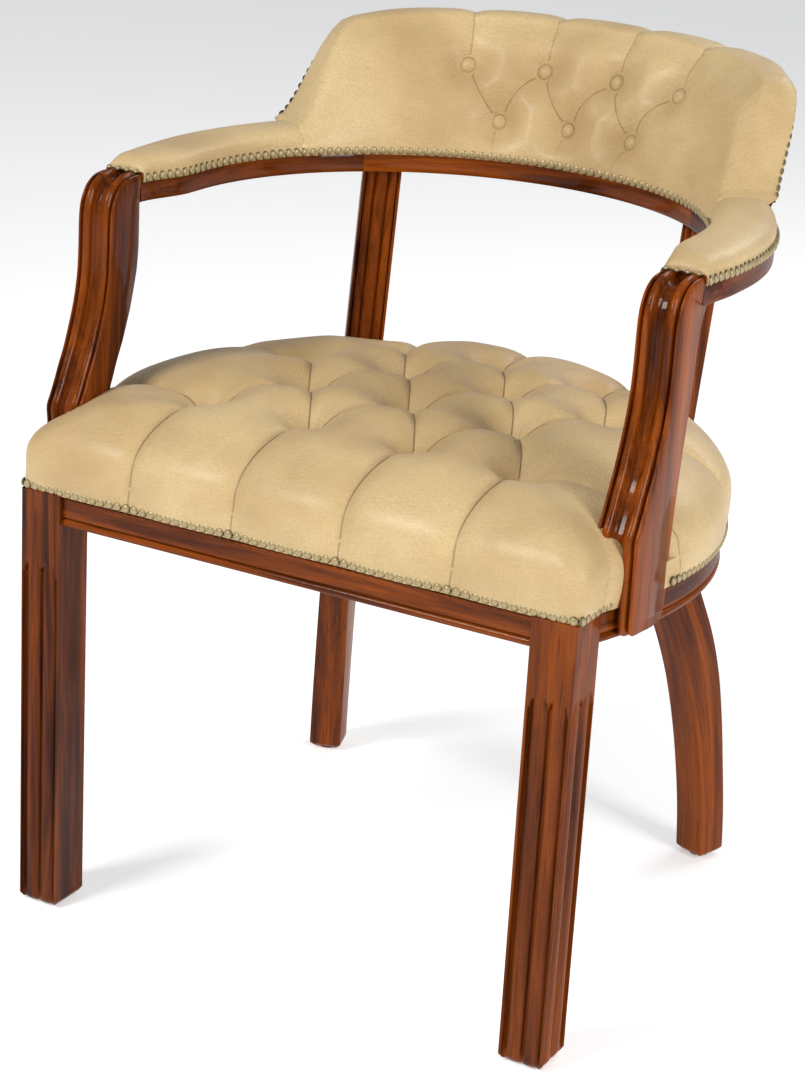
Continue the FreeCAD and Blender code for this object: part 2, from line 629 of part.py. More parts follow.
def rounded(body, radius):
    """Rounds the top edges of a slab."""
    doc.recompute()
    pad = body.Tip
    top = pad.Shape.BoundBox.ZMax
    level = ["Edge%d" % i for i, edge in enumerate(pad.Shape.Edges,
                                                   1) if abs(edge.BoundBox.ZMin - top) < 1e-6]
    fillet = body.newObject("PartDesign::Fillet", body.Name + "Round")
    fillet.Base = (pad, level)
    bind(fillet, Radius=radius)
    return body


def webbing():
    """Two layers of straps, crossing, tacked to the top of the rails."""
    straps = []
    for share in ("-0.6", "-0.2", "0.2", "0.6"):
        middle = SEAT_R + " * 0.8 * " + share
        straps.append(block(middle + " - web_wide / 2", middle + " + web_wide / 2", FRONT,
                            SEAT_Y + " + " + SEAT_R, RAIL_TOP,
                            RAIL_TOP + " + web_thick"))
    for share in ("0.2", "0.5", "0.8", "1.1"):
        middle = FRONT + " + seat_centre * 2 * " + share
        straps.append(block("-" + SEAT_R, SEAT_R, middle + " - web_wide / 2", middle + " + web_wide / 2",
                            RAIL_TOP + " + web_thick", RAIL_TOP + " + 2 * web_thick"))
    inside = slab("WebLimit", "-8", RAIL_TOP, RAIL_TOP + " + 2 * web_thick")
    return cut(common(fuse(*straps), inside), *post_room())


def post_room():
    """The room that the arm posts need at the sides of the seat."""
    side = block(POST_IN + " - soft_gap", SEAT_R + " * 1.2", FRONT + " + post_foot - soft_gap",
                 FRONT + " + post_heel + 8", "rail_bottom", CROWN + " + 10")
    body = doc.addObject("PartDesign::Body", "PostRoom")
    x, y = post_foot()
    sketch = sketch_on(body, "XY_Plane", "RoomSection", x=x, y=y, z=RAIL_TOP, turn="-back_post_turn")
    half_u, half_v = "(back_post_wide / 2 + 10)", "(back_post_deep / 2 + soft_gap)"
    draw(sketch,
         [("-" + half_u, "-" + half_v, "0"), (half_u, "-" + half_v, "0"), (half_u, half_v + " + 50", "0"),
                  ("-" + half_u, half_v + " + 50", "0")])
    pad = body.newObject("PartDesign::Pad", "RoomPad")
    pad.Profile = sketch
    bind(pad, Length="seat_rise + 10")
    rooms = [side, body]
    return rooms + [mirrored(room) for room in rooms]


def seat_spots():
    """Rows of 4, 3, 4 and 3 buttons, set between each other like a diamond net."""
    spots = []
    for row, steps in enumerate((("-1.5", "-0.5", "0.5", "1.5"), ("-1", "0", "1")) * 2):
        for step in steps:
            spots.append(("button_pitch * " + step, FRONT + " + button_first + button_row * %d" % row))
    return spots


def dimples(grow):
    """The funnels that the seat buttons draw into the top of the seat."""
    floor = CROWN + " - button_depth - (%s)" % grow
    funnels = []
    for x, y in seat_spots():
        funnel = doc.addObject("Part::Cone", "Dimple")
        bind(funnel, Radius1="button_radius + 1 + " + grow, Radius2="button_radius * 3 + " + grow,
             Height="button_depth + 2 * hide + " + grow)
        funnels.append(place(funnel, x, y, floor))
    return funnels


def seat_filling(name, grow, top_grow, z0):
    body = slab(name, "seat_overhang + " + grow, z0, CROWN + " + " + top_grow)
    return rounded(body, "seat_edge_round + " + grow)


SOFT_LOW = "(%s + 8)" % BARE_TOP
WEB_TOP = "(%s + 2 * web_thick)" % RAIL_TOP
node("seat_webbing", webbing())
inner_form = cut(seat_filling("SeatForm", "0", "0", SOFT_LOW), *dimples("hide"))
frame_room = slab("FrameRoom", "soft_gap", BARE_TOP + " - 2", WEB_TOP)
node("seat_foam", cut(inner_form, frame_room, *post_room()))
outer_form = fuse(seat_filling("SeatSkin", "hide", "hide", SOFT_LOW + " - hide"),
                  slab("SeatSkirt", "soft_gap + hide", BARE_TOP + " + soft_gap", SOFT_LOW + " + 2"))
node("seat_cover", cut(outer_form, *dimples("0"), inner_form, frame_room, *post_room()))
discs = [drum("button_radius", CROWN + " - button_depth", CROWN + " - button_depth + button_height", x, y)
         for x, y in seat_spots()]
node("seat_buttons", fuse(*discs))
lining = slab("DustCover", "-12", "rail_bottom - lining", "rail_bottom")
legs = [item for item in nodes if item.Label.startswith(("front_leg", "rear_leg", "arm_post"))]
node("dust_cover", cut(lining, *legs))
doc.recompute()


# ------------------------------------------------------------------ padded back and arm pads
def around(angle, radius, height):
    """A point at an angle from straight back, about the centre of the horseshoe."""
    turn = math.radians(angle)
    return FreeCAD.Vector(radius * math.sin(turn), size(BOW_Y) + radius * math.cos(turn), height)


def back_top(angle):
    """The height of the back: a low arch, then a smooth fall to the arm pads over the shoulders."""
    start, stop = size("shoulder_start"), size("back_half_angle")
    share = min(abs(angle) / start, 1)
    arch = (size(BOW_TOP) + size("back_rise")) - size("crest_drop") * share ** 4
    fall = max(abs(angle) - start, 0) / (stop - start)
    return arch + ((size(BOW_TOP) + size("shoulder_rise")) - arch) * (1 - math.cos(math.pi * fall)) / 2


def lofted(name, rings):
    """A closed solid through rings of points."""
    wires = [Part.makePolygon(list(points) + [points[0]]) for points in rings]
    item = doc.addObject("Part::Feature", name)
    item.Shape = Part.makeLoft(wires, True, True)
    item.Placement = FreeCAD.Placement()
    return item


def back_angles(limit):
    """The stations of the back board, as far round as a limit."""
    steps = 8
    reach = size("back_half_angle")
    angles = [reach * i / steps for i in range(-steps, steps + 1)]
    return [angle for angle in angles if abs(angle) <= limit + 1e-6]


def back_section(angle, points):
    """Points (share of the height, distance out from the lean line) of one upright section."""
    base = size(BOW_TOP)
    rise = back_top(angle) - base
    lean = size("back_lean")
    return [around(angle, radius + lean * rise * share + off_r, base + rise * share + off_z)
            for share, radius, off_r, off_z in points]


board_top = size("board_share")
board_out = size(BOARD_OUT)
board_in = board_out - size("board_thick")
face = size(BOW_IN + " + 4")


def board_points():
    return [(0, board_in, 0, 0), (0, board_out, 0, 0), (board_top, board_out, 0, 0),
            (board_top, board_in, 0, 0)]


def filling_points(grow):
    """Front of the board: the face of the back, its rounded crest and the top of the board."""
    return [(0, board_in, 0, 0), (0, face, -grow, 0), (0.4, face, -4 - grow, 0), (0.82, face, -grow, 0),
            (1, face, 12 - grow / 2, grow),
            (1, board_out, -8 + grow / 2,
             grow), (board_top, board_out, grow, 0), (board_top, board_in, 0, 0)]


def back_solid(name, points, reach):
    return lofted(name, [back_section(angle, points) for angle in back_angles(reach)])


def back_spots():
    """Four buttons above, three below, set between each other; angle and height."""
    step = size("back_button_step")
    high = [((i - 1.5) * step, size(BOW_TOP + " + back_button_high")) for i in range(4)]
    return high + [((i - 1) * step, size(BOW_TOP + " + back_button_low")) for i in range(3)]


def back_buttons(name, radius, depth0, depth1):
    """Short cylinders square to the face of the back, from one depth to another behind it."""
    lean = math.atan(size("back_lean"))
    shapes = []
    for angle, height in back_spots():
        base = face + size("back_lean") * (height - size(BOW_TOP))
        turn = math.radians(angle)
        way = FreeCAD.Vector(math.sin(turn) * math.cos(lean), math.cos(turn) * math.cos(lean),
                             -math.sin(lean))
        shapes.append(Part.makeCylinder(radius, depth1 - depth0, around(angle, base, height) + way * depth0,
                                        way))
    item = doc.addObject("Part::Feature", name)
    item.Shape = Part.makeCompound(shapes)
    item.Placement = FreeCAD.Placement()
    return item


reach = size("back_half_angle")
hide = size("hide")
depth = size("back_button_depth")
back_board = node("back_board", back_solid("BackBoard", board_points(), reach))
back_form = back_solid("BackForm", filling_points(0), reach)
foam_wells = back_buttons("FoamWells", size("button_radius") + 1.5 + hide, -20, depth + hide)
node("back_foam", cut(back_form, foam_wells))
skin = back_solid("BackSkin", filling_points(hide), reach)
cover_wells = back_buttons("CoverWells", size("button_radius") + 1.5, -20, depth)
node("back_cover", cut(skin, cover_wells, cut(back_form, foam_wells), back_board))
node("back_buttons", back_buttons("BackButtons", size("button_radius"), depth - size("button_height"),
                                  depth))


def panel_points():
    margin = size("panel_margin") / size("back_rise")
    panel = size("outside_panel")
    return [(margin, board_out, 0, 0), (margin, board_out, panel, 0),
            (board_top - margin, board_out, panel, 0),
            (board_top - margin, board_out, 0, 0)]


node("outside_back_panel", back_solid("OutsidePanel", panel_points(), size("shoulder_start")))


def arm_stations(grow):
    """Inner and outer edge of the arm at stations from the post to the end of the back."""
    near = size(FRONT + " + post_back")
    full = size(FRONT + " + arm_taper")
    inner, outer = size(BOW_IN), size(BOW_OUT)
    stations = [((size(POST_IN) - grow, near), (size(POST_OUT) + grow, near)),
                ((inner - grow, full),
                 (outer + grow, full)), ((inner - grow, size(BOW_Y)), (outer + grow, size(BOW_Y)))]
    steps = 4
    for i in range(1, steps + 1):
        angle = 90 - (90 - reach) * i / steps
        edges = [around(angle, radius, 0) for radius in (inner - grow, outer + grow)]
        stations.append(tuple((edge.x, edge.y) for edge in edges))
    return stations


def arm_pad(name, grow):
    """A crowned pad on top of the arm."""
    crown = size("pad_height") + grow
    base = size(BOW_TOP)
    rings = []
    for (x0, y0), (x1, y1) in arm_stations(grow):
        profile = ((0, 0), (0, 0.5), (0.2, 0.92), (0.5, 1), (0.8, 0.92), (1, 0.5), (1, 0))
        rings.append([FreeCAD.Vector(x0 + (x1 - x0) * u, y0 + (y1 - y0) * u, base + crown * v) for u,
                      v in profile])
    return lofted(name, rings)


pad_form = arm_pad("ArmPadForm", -hide)
pair("arm_pad_foam", pad_form)
pair("arm_pad_cover", cut(arm_pad("ArmPadSkin", 0), pad_form))


# ------------------------------------------------------------------ nails
def dome(at, way):
    """A nail head: a low dome that faces a way."""
    radius, height = size("nail_radius"), size("nail_height")
    ball = (radius ** 2 + height ** 2) / (2 * height)
    centre = at - way * (ball - height)
    tip = Part.makeSphere(ball, centre, way)
    disc = Part.makeCylinder(radius * 1.01, height * 1.1, at, way)
    return tip.common(disc)


def heads(name, spots):
    """Nail heads at spots (place, way)."""
    shapes = []
    for at, way in spots:
        shapes.append(dome(at, way))
    item = doc.addObject("Part::Feature", name)
    item.Shape = Part.makeCompound(shapes)
    item.Placement = FreeCAD.Placement()
    return node(name, item)


def seat_nail_spots():
    """Round the seat on the leather, at even steps."""
    grow = size("soft_gap + hide")
    wide, near = size("leg_reach - rebate") + grow, size(FRONT + " + rail_setback") - grow
    back, radius, sweep = size(LEG_BACK), size(SEAT_R) + grow, size(SWEEP) + grow
    height = size(BARE_TOP) + 4.7
    centre = size(SEAT_Y)
    swing = math.asin((centre - back) / sweep)
    half = [(FreeCAD.Vector(0, near, height), FreeCAD.Vector(wide, near, height))]
    half.append((FreeCAD.Vector(wide, near, height), FreeCAD.Vector(wide, back, height)))
    edge = Part.makePolygon([half[0][0], half[0][1], half[1][1]])
    side = Part.makeCircle(sweep, FreeCAD.Vector(radius - sweep, centre, height), FreeCAD.Vector(0, 0, 1),
                           -math.degrees(swing), 0)
    rear = Part.makeCircle(radius, FreeCAD.Vector(0, centre, height), FreeCAD.Vector(0, 0, 1), 0, 90)
    spots = []
    for line in edge.Edges + [side, rear]:
        count = max(round(line.Length / size("nail_pitch")), 1)
        for i in range(count):
            place = line.FirstParameter + (line.LastParameter - line.FirstParameter) * (i + 0.5) / count
            at = line.valueAt(place)
            along = line.tangentAt(place)
            way = FreeCAD.Vector(along.y, -along.x, 0)
            beside = size("post_foot") - 6 < at.y - size(FRONT) < size("post_heel") + 14
            blocked = at.x > size(POST_IN) - 6 and beside
            if blocked:
                continue
            spots.append((at, way))
            spots.append((FreeCAD.Vector(-at.x, at.y, at.z), FreeCAD.Vector(-way.x, way.y, 0)))
    return spots


def bow_nail_spots(radius, sign, reach_angle):
    """Along one edge of the horseshoe, on its upright face just under the leather's edge."""
    height = size(BOW_TOP) - size("nail_radius") - 0.5
    step = math.degrees(size("nail_pitch") / radius)
    spots = []
    count = int((90 - reach_angle) / step)
    for i in range(count + 1):
        angle = reach_angle + step * (i + 0.5)
        way = around(angle, 1, 0) - around(angle, 0, 0)
        spots.append((around(angle, radius + sign * 0.3, height), way * sign))
    return spots


def both(spots):
    return spots + [(FreeCAD.Vector(-at.x, at.y, at.z), FreeCAD.Vector(-way.x, way.y, way.z)) for at,
                    way in spots]


def arm_nail_spots():
    """Straight parts of the arm, inside and outside, and across the front of the pad."""
    height = size(BOW_TOP) - size("nail_radius") - 0.5
    spots = []
    stations = arm_stations(0)
    for side, sign in ((0, -1), (1, 1)):
        for (a, b) in zip(stations[:2], stations[1:3]):
            start = FreeCAD.Vector(a[side][0], a[side][1], height)
            run = FreeCAD.Vector(b[side][0], b[side][1], height) - start
            count = max(round((run.Length - 4) / size("nail_pitch")), 1)
            way = FreeCAD.Vector(run.y, -run.x, 0).normalize() * sign
            for i in range(count):
                spots.append((start + run * ((i + 0.7) / (count + 0.2)) + way * 0.3, way))
    across = size("post_width") / 4
    for i in range(4):
        x = size(POST_IN) + across * (i + 0.5)
        spots.append((FreeCAD.Vector(x, size(FRONT + " + post_back") - size("nail_radius") - 1,
                                     size(BOW_TOP) + 0.3), FreeCAD.Vector(0, 0, 1)))
    return spots


heads("seat_nails", seat_nail_spots())
inner_spots = bow_nail_spots(size(BOW_IN), -1, 0)
outer_spots = bow_nail_spots(size(BOW_OUT), 1, reach)
heads("arm_nails", both(inner_spots + outer_spots + arm_nail_spots()))


def panel_nail_spots():
    """Round the leather on the outside of the back."""
    margin = (size("panel_margin") - size("nail_radius")) / size("back_rise")
    reach_angle = size("shoulder_start")
    step = math.degrees(size("nail_pitch") / board_out)
    lean = math.atan(size("back_lean"))
    spots = []
    for share in (margin, board_top - margin):
        count = int(reach_angle / step)
        for i in range(count):
            angle = (i + 0.5) * step
            turn = math.radians(angle)
            way = FreeCAD.Vector(math.sin(turn) * math.cos(lean), math.cos(turn) * math.cos(lean),
                                 -math.sin(lean))
            spots.append((back_section(angle, [(share, board_out, 0, 0)])[0] + way * 0.3, way))
    return spots


heads("outside_back_nails", both(panel_nail_spots()))


# ------------------------------------------------------------------ write the files
os.makedirs("parts", exist_ok=True)
doc.recompute()
for item in doc.Objects:
    if {"Invalid", "Error"} & set(item.State):
        raise RuntimeError("%s (%s) failed: %s" % (item.Name, item.Label, item.State))
for item in nodes:
    if item.Shape.isNull() or not item.Shape.isValid():
        raise RuntimeError("%s has no valid shape" % item.Label)
for item in nodes:
    item.Shape.exportStep("parts/%s.step" % item.Label)
print("%d nodes written" % len(nodes))
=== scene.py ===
# %% [markdown]
# # An upholstered armchair
# The frame is mahogany: two straight fluted legs in front, two curved legs behind, S-shaped arm posts
# and a horseshoe arm rail. The seat and the low back are buttoned leather, edged with brass nails.
# The joiner's parts come in first. They fix every place and size, and the looks are built round them.

import math

import bpy
import numpy as np
from mathutils import Matrix, Vector


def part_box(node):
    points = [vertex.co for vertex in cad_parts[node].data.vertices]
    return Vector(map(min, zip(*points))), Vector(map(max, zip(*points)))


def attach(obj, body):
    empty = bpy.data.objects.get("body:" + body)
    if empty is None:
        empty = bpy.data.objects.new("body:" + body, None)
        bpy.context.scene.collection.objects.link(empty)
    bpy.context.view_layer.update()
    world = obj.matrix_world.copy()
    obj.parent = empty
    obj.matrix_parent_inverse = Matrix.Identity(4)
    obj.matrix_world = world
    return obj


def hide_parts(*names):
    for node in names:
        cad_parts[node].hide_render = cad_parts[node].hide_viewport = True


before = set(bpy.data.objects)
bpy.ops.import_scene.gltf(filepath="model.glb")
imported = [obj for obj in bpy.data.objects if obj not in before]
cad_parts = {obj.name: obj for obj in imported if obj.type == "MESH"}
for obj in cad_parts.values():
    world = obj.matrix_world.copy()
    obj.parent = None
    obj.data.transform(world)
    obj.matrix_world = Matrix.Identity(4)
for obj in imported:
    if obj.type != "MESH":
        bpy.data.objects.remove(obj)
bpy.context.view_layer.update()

# %% [markdown]
# ## Main sizes
# The chair's lines are all measured from a few parts: the front legs, the seat rails, the arm posts
# and the horseshoe. The seat is a D: straight in front, swept sides, round behind. The horseshoe has
# its own centre, further back. The named sizes are the drop of the nail line below the rails' top, the
# leg's face set back under the leather, the lap of the posts, the width of the horseshoe and how far the
# front rail stands behind the legs' faces.

# %% Read the main sizes
leg_lo, leg_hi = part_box("front_leg_right")
post_lo, post_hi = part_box("arm_post_right")
rail_lo, rail_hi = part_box("front_seat_rail")
bow_lo, bow_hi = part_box("bow_centre_rail")
FRONT, LEG_BACK = leg_lo.y, leg_hi.y
LEG_IN, LEG_OUT = leg_lo.x, leg_hi.x
RAIL_Z, RAIL_TOP = rail_lo.z, rail_hi.z
POST_IN, POST_OUT = post_lo.x, post_hi.x
SEAT_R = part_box("side_seat_rail_right")[1].x
SEAT_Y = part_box("back_seat_rail")[1].y - SEAT_R
BOW_Z, BOW_TOP = bow_lo.z, bow_hi.z
BOW_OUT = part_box("arm_rail_right")[1].x
BOW_Y = bow_hi.y - BOW_OUT
NAIL_DROP, REBATE, LAP_DEPTH, ARM_WIDE, RAIL_BACK = 0.0195, 0.0015, 0.019, 0.057, 0.004
NAIL_Z = RAIL_TOP - NAIL_DROP
SIDE = LEG_OUT - REBATE
POST_LAP = POST_OUT - LAP_DEPTH
BOW_IN = BOW_OUT - ARM_WIDE
FLARE = SEAT_R - SIDE
SWEEP = ((SEAT_Y - LEG_BACK) ** 2 + FLARE**2) / (2 * FLARE)
print("seat radius", round(SEAT_R, 4), "horseshoe", round(BOW_IN, 4), round(BOW_OUT, 4))

# %% [markdown]
# ## Making a surface from a grid of points
# Every shaped piece is a grid: rings of points, one ring after another. Neighbouring rings are joined
# by four-sided faces, and the two ends are closed. A mirrored copy turns its faces round, so that they
# still point outwards. "grain" is kept on each point: where it lies in the wood, with the long way of
# the board third.


# %% Grids and pieces
def join_grid(rings, around, closed):
    """Corner numbers of the faces between rings of `around` points; closed rings join end to start."""
    row = np.arange(rings - 1)[:, None] * around
    here = np.arange(around if closed else around - 1)[None, :]
    after = (here + 1) % around
    return np.stack([row + here, row + after, row + around + after, row + around + here], -1).reshape(-1, 4)


def piece(name, points, faces, material, grain=None, ends=(), marks=None, sharp=40.0, smooth=True):
    """A mesh object at the origin that rides on the chair and takes its finish from a slot."""
    mesh = bpy.data.meshes.new(name)
    mesh.from_pydata(points, [], faces.tolist() + [list(map(int, end)) for end in ends])
    mesh.update()
    if smooth:
        mesh.polygons.foreach_set("use_smooth", np.ones(len(mesh.polygons), bool))
        mesh.set_sharp_from_angle(angle=math.radians(sharp))
    if grain is not None:
        layer = mesh.attributes.new("grain", "FLOAT_VECTOR", "POINT")
        layer.data.foreach_set("vector", np.ascontiguousarray(grain, np.float32).ravel())
    for label, values in (marks or {}).items():
        layer = mesh.attributes.new(label, "FLOAT", "POINT")
        layer.data.foreach_set("value", np.ascontiguousarray(values, np.float32).ravel())
    mesh.materials.append(material)
    item = bpy.data.objects.new(name, mesh)
    bpy.context.scene.collection.objects.link(item)
    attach(item, "root")
    return item


def tube(name, rings, material, grain=None, marks=None, sharp=40.0, flip=False):
    """A solid from closed rings (n, m, 3) with flat ends; flip it where the rings run the other way."""
    n, m = rings.shape[:2]
    faces = join_grid(n, m, True)
    ends = [np.arange(m)[::-1], np.arange(m) + (n - 1) * m]
    if flip:
        faces, ends = faces[:, ::-1], [end[::-1] for end in ends]
    flat_grain = None if grain is None else grain.reshape(-1, 3)
    return piece(name, rings.reshape(-1, 3), faces, material, flat_grain, ends, marks, sharp)


def outward(rings):
    """True if faces made in the rings' order look outwards: the signed volume is then above 0."""
    a, b = rings[:-1], np.roll(rings[:-1], -1, 1)
    c, d = np.roll(rings[1:], -1, 1), rings[1:]
    volume = np.einsum("ijk,ijk->", a, np.cross(b, c)) + np.einsum("ijk,ijk->", a, np.cross(c, d))
    first, last = rings[0], rings[-1]
    for ring, sign in ((first, -1), (last, 1)):
        middle = np.broadcast_to(ring.mean(0), ring.shape)
        volume += sign * np.einsum("jk,jk->", middle, np.cross(ring, np.roll(ring, -1, 0)))
    return volume > 0


def solid(name, rings, material, grain=None, marks=None, sharp=40.0):
    """A tube whose faces are turned to look outwards whichever way the rings run."""
    return tube(name, rings, material, grain, marks, sharp, flip=not outward(rings))


def both_sides(name, rings, nodes, material, grain=None, sharp=40.0):
    """The right-hand piece and its mirror image, each standing for its own joiner's parts."""
    made = []
    for side, sign in (("right", 1), ("left", -1)):
        turned = rings * np.array([sign, 1, 1])
        shifted = None if grain is None else grain + (0 if sign > 0 else 0.37)
        item = solid(f"{name}_{side}", turned, material, shifted, None, sharp)
        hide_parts(*[f"{node}_{side}" for node in nodes])
        made.append(item)
    return made


def through(points, count):
    """A smooth line through the points (Catmull-Rom), leaving each along the line of its neighbours."""
    p = np.asarray(points, float)
    p = np.vstack([2 * p[0] - p[1], p, 2 * p[-1] - p[-2]])
    t = np.linspace(0, len(p) - 3, count)
    i = np.minimum(t.astype(int), len(p) - 4)
    f = (t - i)[:, None]
    a, b, c, d = p[i], p[i + 1], p[i + 2], p[i + 3]
    return 0.5 * (2 * b + (c - a) * f + (2 * a - 5 * b + 4 * c - d) * f**2 + (3 * b - a - 3 * c + d) * f**3)


def even(points, count, closed=False):
    """The same line with points at equal steps of its length."""
    p = np.vstack([points, points[:1]]) if closed else np.asarray(points, float)
    run = np.r_[0, np.cumsum(np.linalg.norm(np.diff(p, axis=0), axis=1))]
    at = np.linspace(0, run[-1], count, endpoint=not closed)
    return np.stack([np.interp(at, run, p[:, k]) for k in range(p.shape[1])], 1)


def ease(x):
    """0 below 0, 1 above 1, and a smooth rise between."""
    x = np.clip(x, 0, 1)
    return x * x * (3 - 2 * x)


# %% [markdown]
# ## Shader arithmetic
# A small class lets a material be written as plain sums: every + or * makes one Math node.


# %% A few words for materials
class Term:
    """One output socket in a material, with the usual arithmetic."""

    def __init__(self, look, socket):
        self.look, self.socket = look, socket

    def _math(self, how, a, b):
        return self.look.node("ShaderNodeMath", [a, b], operation=how)

    def __add__(self, other):
        return self._math("ADD", self, other)

    def __sub__(self, other):
        return self._math("SUBTRACT", self, other)

    def __mul__(self, other):
        return self._math("MULTIPLY", self, other)

    def __rsub__(self, other):
        return self._math("SUBTRACT", other, self)

    __radd__, __rmul__ = __add__, __mul__


class Look:
    """A material that is built one node at a time."""

    def __init__(self, name, **fixed):
        self.material = bpy.data.materials.new(name)
        self.material.use_nodes = True
        self.tree = self.material.node_tree
        self.shader = self.tree.nodes["Principled BSDF"]
        for label, value in fixed.items():
            self.shader.inputs[label.replace("_", " ")].default_value = value

    def node(self, kind, inputs=(), output=0, **settings):
        """Adds a node; inputs are a list or a dict by name, each a number or another node's output."""
        made = self.tree.nodes.new(kind)
        for key, value in settings.items():
            setattr(made, key, value)
        for key, value in inputs.items() if isinstance(inputs, dict) else enumerate(inputs):
            if isinstance(value, Term):
                self.tree.links.new(value.socket, made.inputs[key])
            elif value is not None:
                made.inputs[key].default_value = value
        return Term(self, made.outputs[output])

    def give(self, label, term):
        """Feeds one of the shader's inputs."""
        self.tree.links.new(term.socket, self.shader.inputs[label])

    def where(self, label=None, stretch=(1, 1, 1)):
        """Places on the piece, or the values kept on its points, stretched."""
        if label:
            spot = self.node("ShaderNodeAttribute", attribute_name=label, output="Vector")
        else:
            spot = self.node("ShaderNodeTexCoord", output="Object")
        return self.node("ShaderNodeMapping", {"Vector": spot, "Scale": stretch})

    def mark(self, label):
        """A number kept on the points of the piece."""
        return self.node("ShaderNodeAttribute", attribute_name=label, output="Fac")

    def noise(self, spot, scale, detail=3.0, rough=0.5, twist=0.0):
        """Cloudy noise from 0 to 1."""
        sizes = {"Vector": spot, "Scale": scale, "Detail": detail, "Roughness": rough, "Distortion": twist}
        return self.node("ShaderNodeTexNoise", sizes, output="Fac")

    def steps(self, value, low, high):
        """0 below low, 1 above high."""
        sizes = {"Value": value, "From Min": low, "From Max": high}
        return self.node("ShaderNodeMapRange", sizes, output="Result", interpolation_type="SMOOTHSTEP")

    def mix(self, share, a, b):
        """Colour a where share is 0, colour b where it is 1."""
        return self.node("ShaderNodeMix", {0: share, 6: a, 7: b}, output=2, data_type="RGBA")

    def bump(self, height, distance, strength=1.0):
        """Raises the surface a little; the height is from 0 to 1, the distance in metres."""
        sizes = {"Height": height, "Distance": distance, "Strength": strength}
        self.give("Normal", self.node("ShaderNodeBump", sizes))


def colour(r, g, b):
    """A colour from 0-255 values, made linear."""
    v = np.array([r, g, b]) / 255
    v = np.where(v <= 0.04045, v / 12.92, ((v + 0.055) / 1.055) ** 2.4)
    return (float(v[0]), float(v[1]), float(v[2]), 1.0)


# %% [markdown]
# ## Finishes
# Mahogany: long streaks and fine pores along the grain, darker in patches, under a thin coat of
# polish. Leather: a pebbled grain with fine stretch lines, painted shade in the folds and round the
# buttons, slightly uneven in gloss. Brass: brown in the hollows, bright on the rubbed tops.


# %% Mahogany and beech
def wood(name, dark, light, coat, rough):
    """Streaked wood that reads its grain from the points of the piece."""
    look = Look(name, IOR=1.5, Specular_IOR_Level=0.04, Coat_Roughness=0.09, Coat_IOR=1.5)
    streak = look.noise(look.where("grain", (55, 55, 3.2)), 1.0, 5.0, 0.62, 0.6)
    flame = look.noise(look.where("grain", (9, 9, 1.1)), 1.0, 3.0, 0.5, 1.2)
    pore = look.noise(look.where("grain", (900, 900, 22)), 1.0, 2.0, 0.5)
    share = look.steps(streak * 0.6 + flame * 0.4, 0.36, 0.66)
    base = look.mix(share, dark, light)
    deep = look.steps(pore, 0.52, 0.72) * 0.45
    base = look.mix(deep, base, tuple(0.35 * c for c in dark[:3]) + (1.0,))
    cloud = look.noise(look.where("grain", (4, 4, 2)), 1.0, 2.0, 0.5)
    base = look.mix(look.steps(cloud, 0.35, 0.75) * 0.4, base, tuple(0.45 * c for c in dark[:3]) + (1.0,))
    look.give("Base Color", base)
    smear = look.noise(look.where("grain", (14, 14, 5)), 1.0, 4.0, 0.6)
    look.give("Roughness", smear * 0.22 + rough)
    look.give("Coat Weight", look.steps(smear, 0.2, 0.6) * 0.1 + (coat - 0.1))
    look.bump(pore * 0.5 + streak, 0.00022, 0.5)
    return look.material


mahogany = wood("mahogany", colour(48, 13, 2), colour(150, 71, 8), 0.26, 0.38)
print("mahogany ready")


# %% Leather
def leather(name, pale, deep, fold):
    """Grained hide: small pebbles, fine stretch lines, and painted shade in the folds and round buttons."""
    look = Look(name, IOR=1.45, Coat_Roughness=0.32, Sheen_Weight=0.08, Sheen_Roughness=0.5)
    spot = look.where()
    bent = look.noise(spot, 22.0, 3.0, 0.6)
    cells = look.node("ShaderNodeTexVoronoi", {"Vector": spot, "Scale": 480.0}, output="Distance",
                      feature="F1")
    fine = look.noise(spot, 900.0, 2.0, 0.5)
    lines = look.noise(look.where(None, (90, 90, 420)), 1.0, 4.0, 0.65, 1.6)
    cloud = look.noise(spot, 7.0, 4.0, 0.55)
    base = look.mix(look.steps(cloud, 0.3, 0.72), pale, deep)
    creased = look.steps(lines, 0.56, 0.74) * 0.28
    base = look.mix(creased, base, deep)
    base = look.mix(look.steps(cells, 0.25, 0.75) * 0.3, base, deep)
    # Painted shade: a dark line along the bottom of each fold and a dark ring round each button, in the
    # fold colour.
    seam = look.node("ShaderNodeMath", [look.mark("seam")], operation="ABSOLUTE")
    line = (1 - look.steps(seam, 0.0001, 0.0013)) * look.mark("fold")
    base = look.mix(line, base, fold)
    look.give("Base Color", base)
    look.give("Roughness", bent * 0.16 + cells * 0.12 + 0.4)
    look.give("Coat Weight", 0.26 - look.steps(cloud, 0.3, 0.8) * 0.14)
    height = cells * 0.55 + fine * 0.25 + lines * 0.9
    look.bump(height, 0.0011, 0.7)
    return look.material


# The third colour is the painted shade in the folds and round the buttons.
hide = leather("tan_leather", colour(210, 183, 132), colour(182, 151, 103), colour(96, 68, 34))
print("leather ready")


# %% Brass, cloth and small hardware
def brass(name):
    """Old brass: brown film, rubbed brighter on top."""
    look = Look(name, Metallic=0.4)
    spot = look.where()
    film = look.noise(spot, 260.0, 4.0, 0.6)
    top = look.mark("rub")
    share = look.steps(film * 0.45 + top * 0.75, 0.35, 0.85)
    look.give("Base Color", look.mix(share, colour(104, 90, 60), colour(166, 148, 108)))
    look.give("Roughness", 0.55 - share * 0.15)
    look.bump(film, 0.0001, 0.4)
    return look.material


def speckled(name, dark, light, scale, rough, bump, metal=0.0, stretch=(1, 1, 1)):
    """A plain material with its own grain."""
    look = Look(name, Metallic=metal)
    grain = look.noise(look.where(None, stretch), scale, 5.0, 0.6)
    look.give("Base Color", look.mix(look.steps(grain, 0.3, 0.7), dark, light))
    look.give("Roughness", grain * 0.2 + rough)
    look.bump(grain, bump, 0.6)
    return look.material


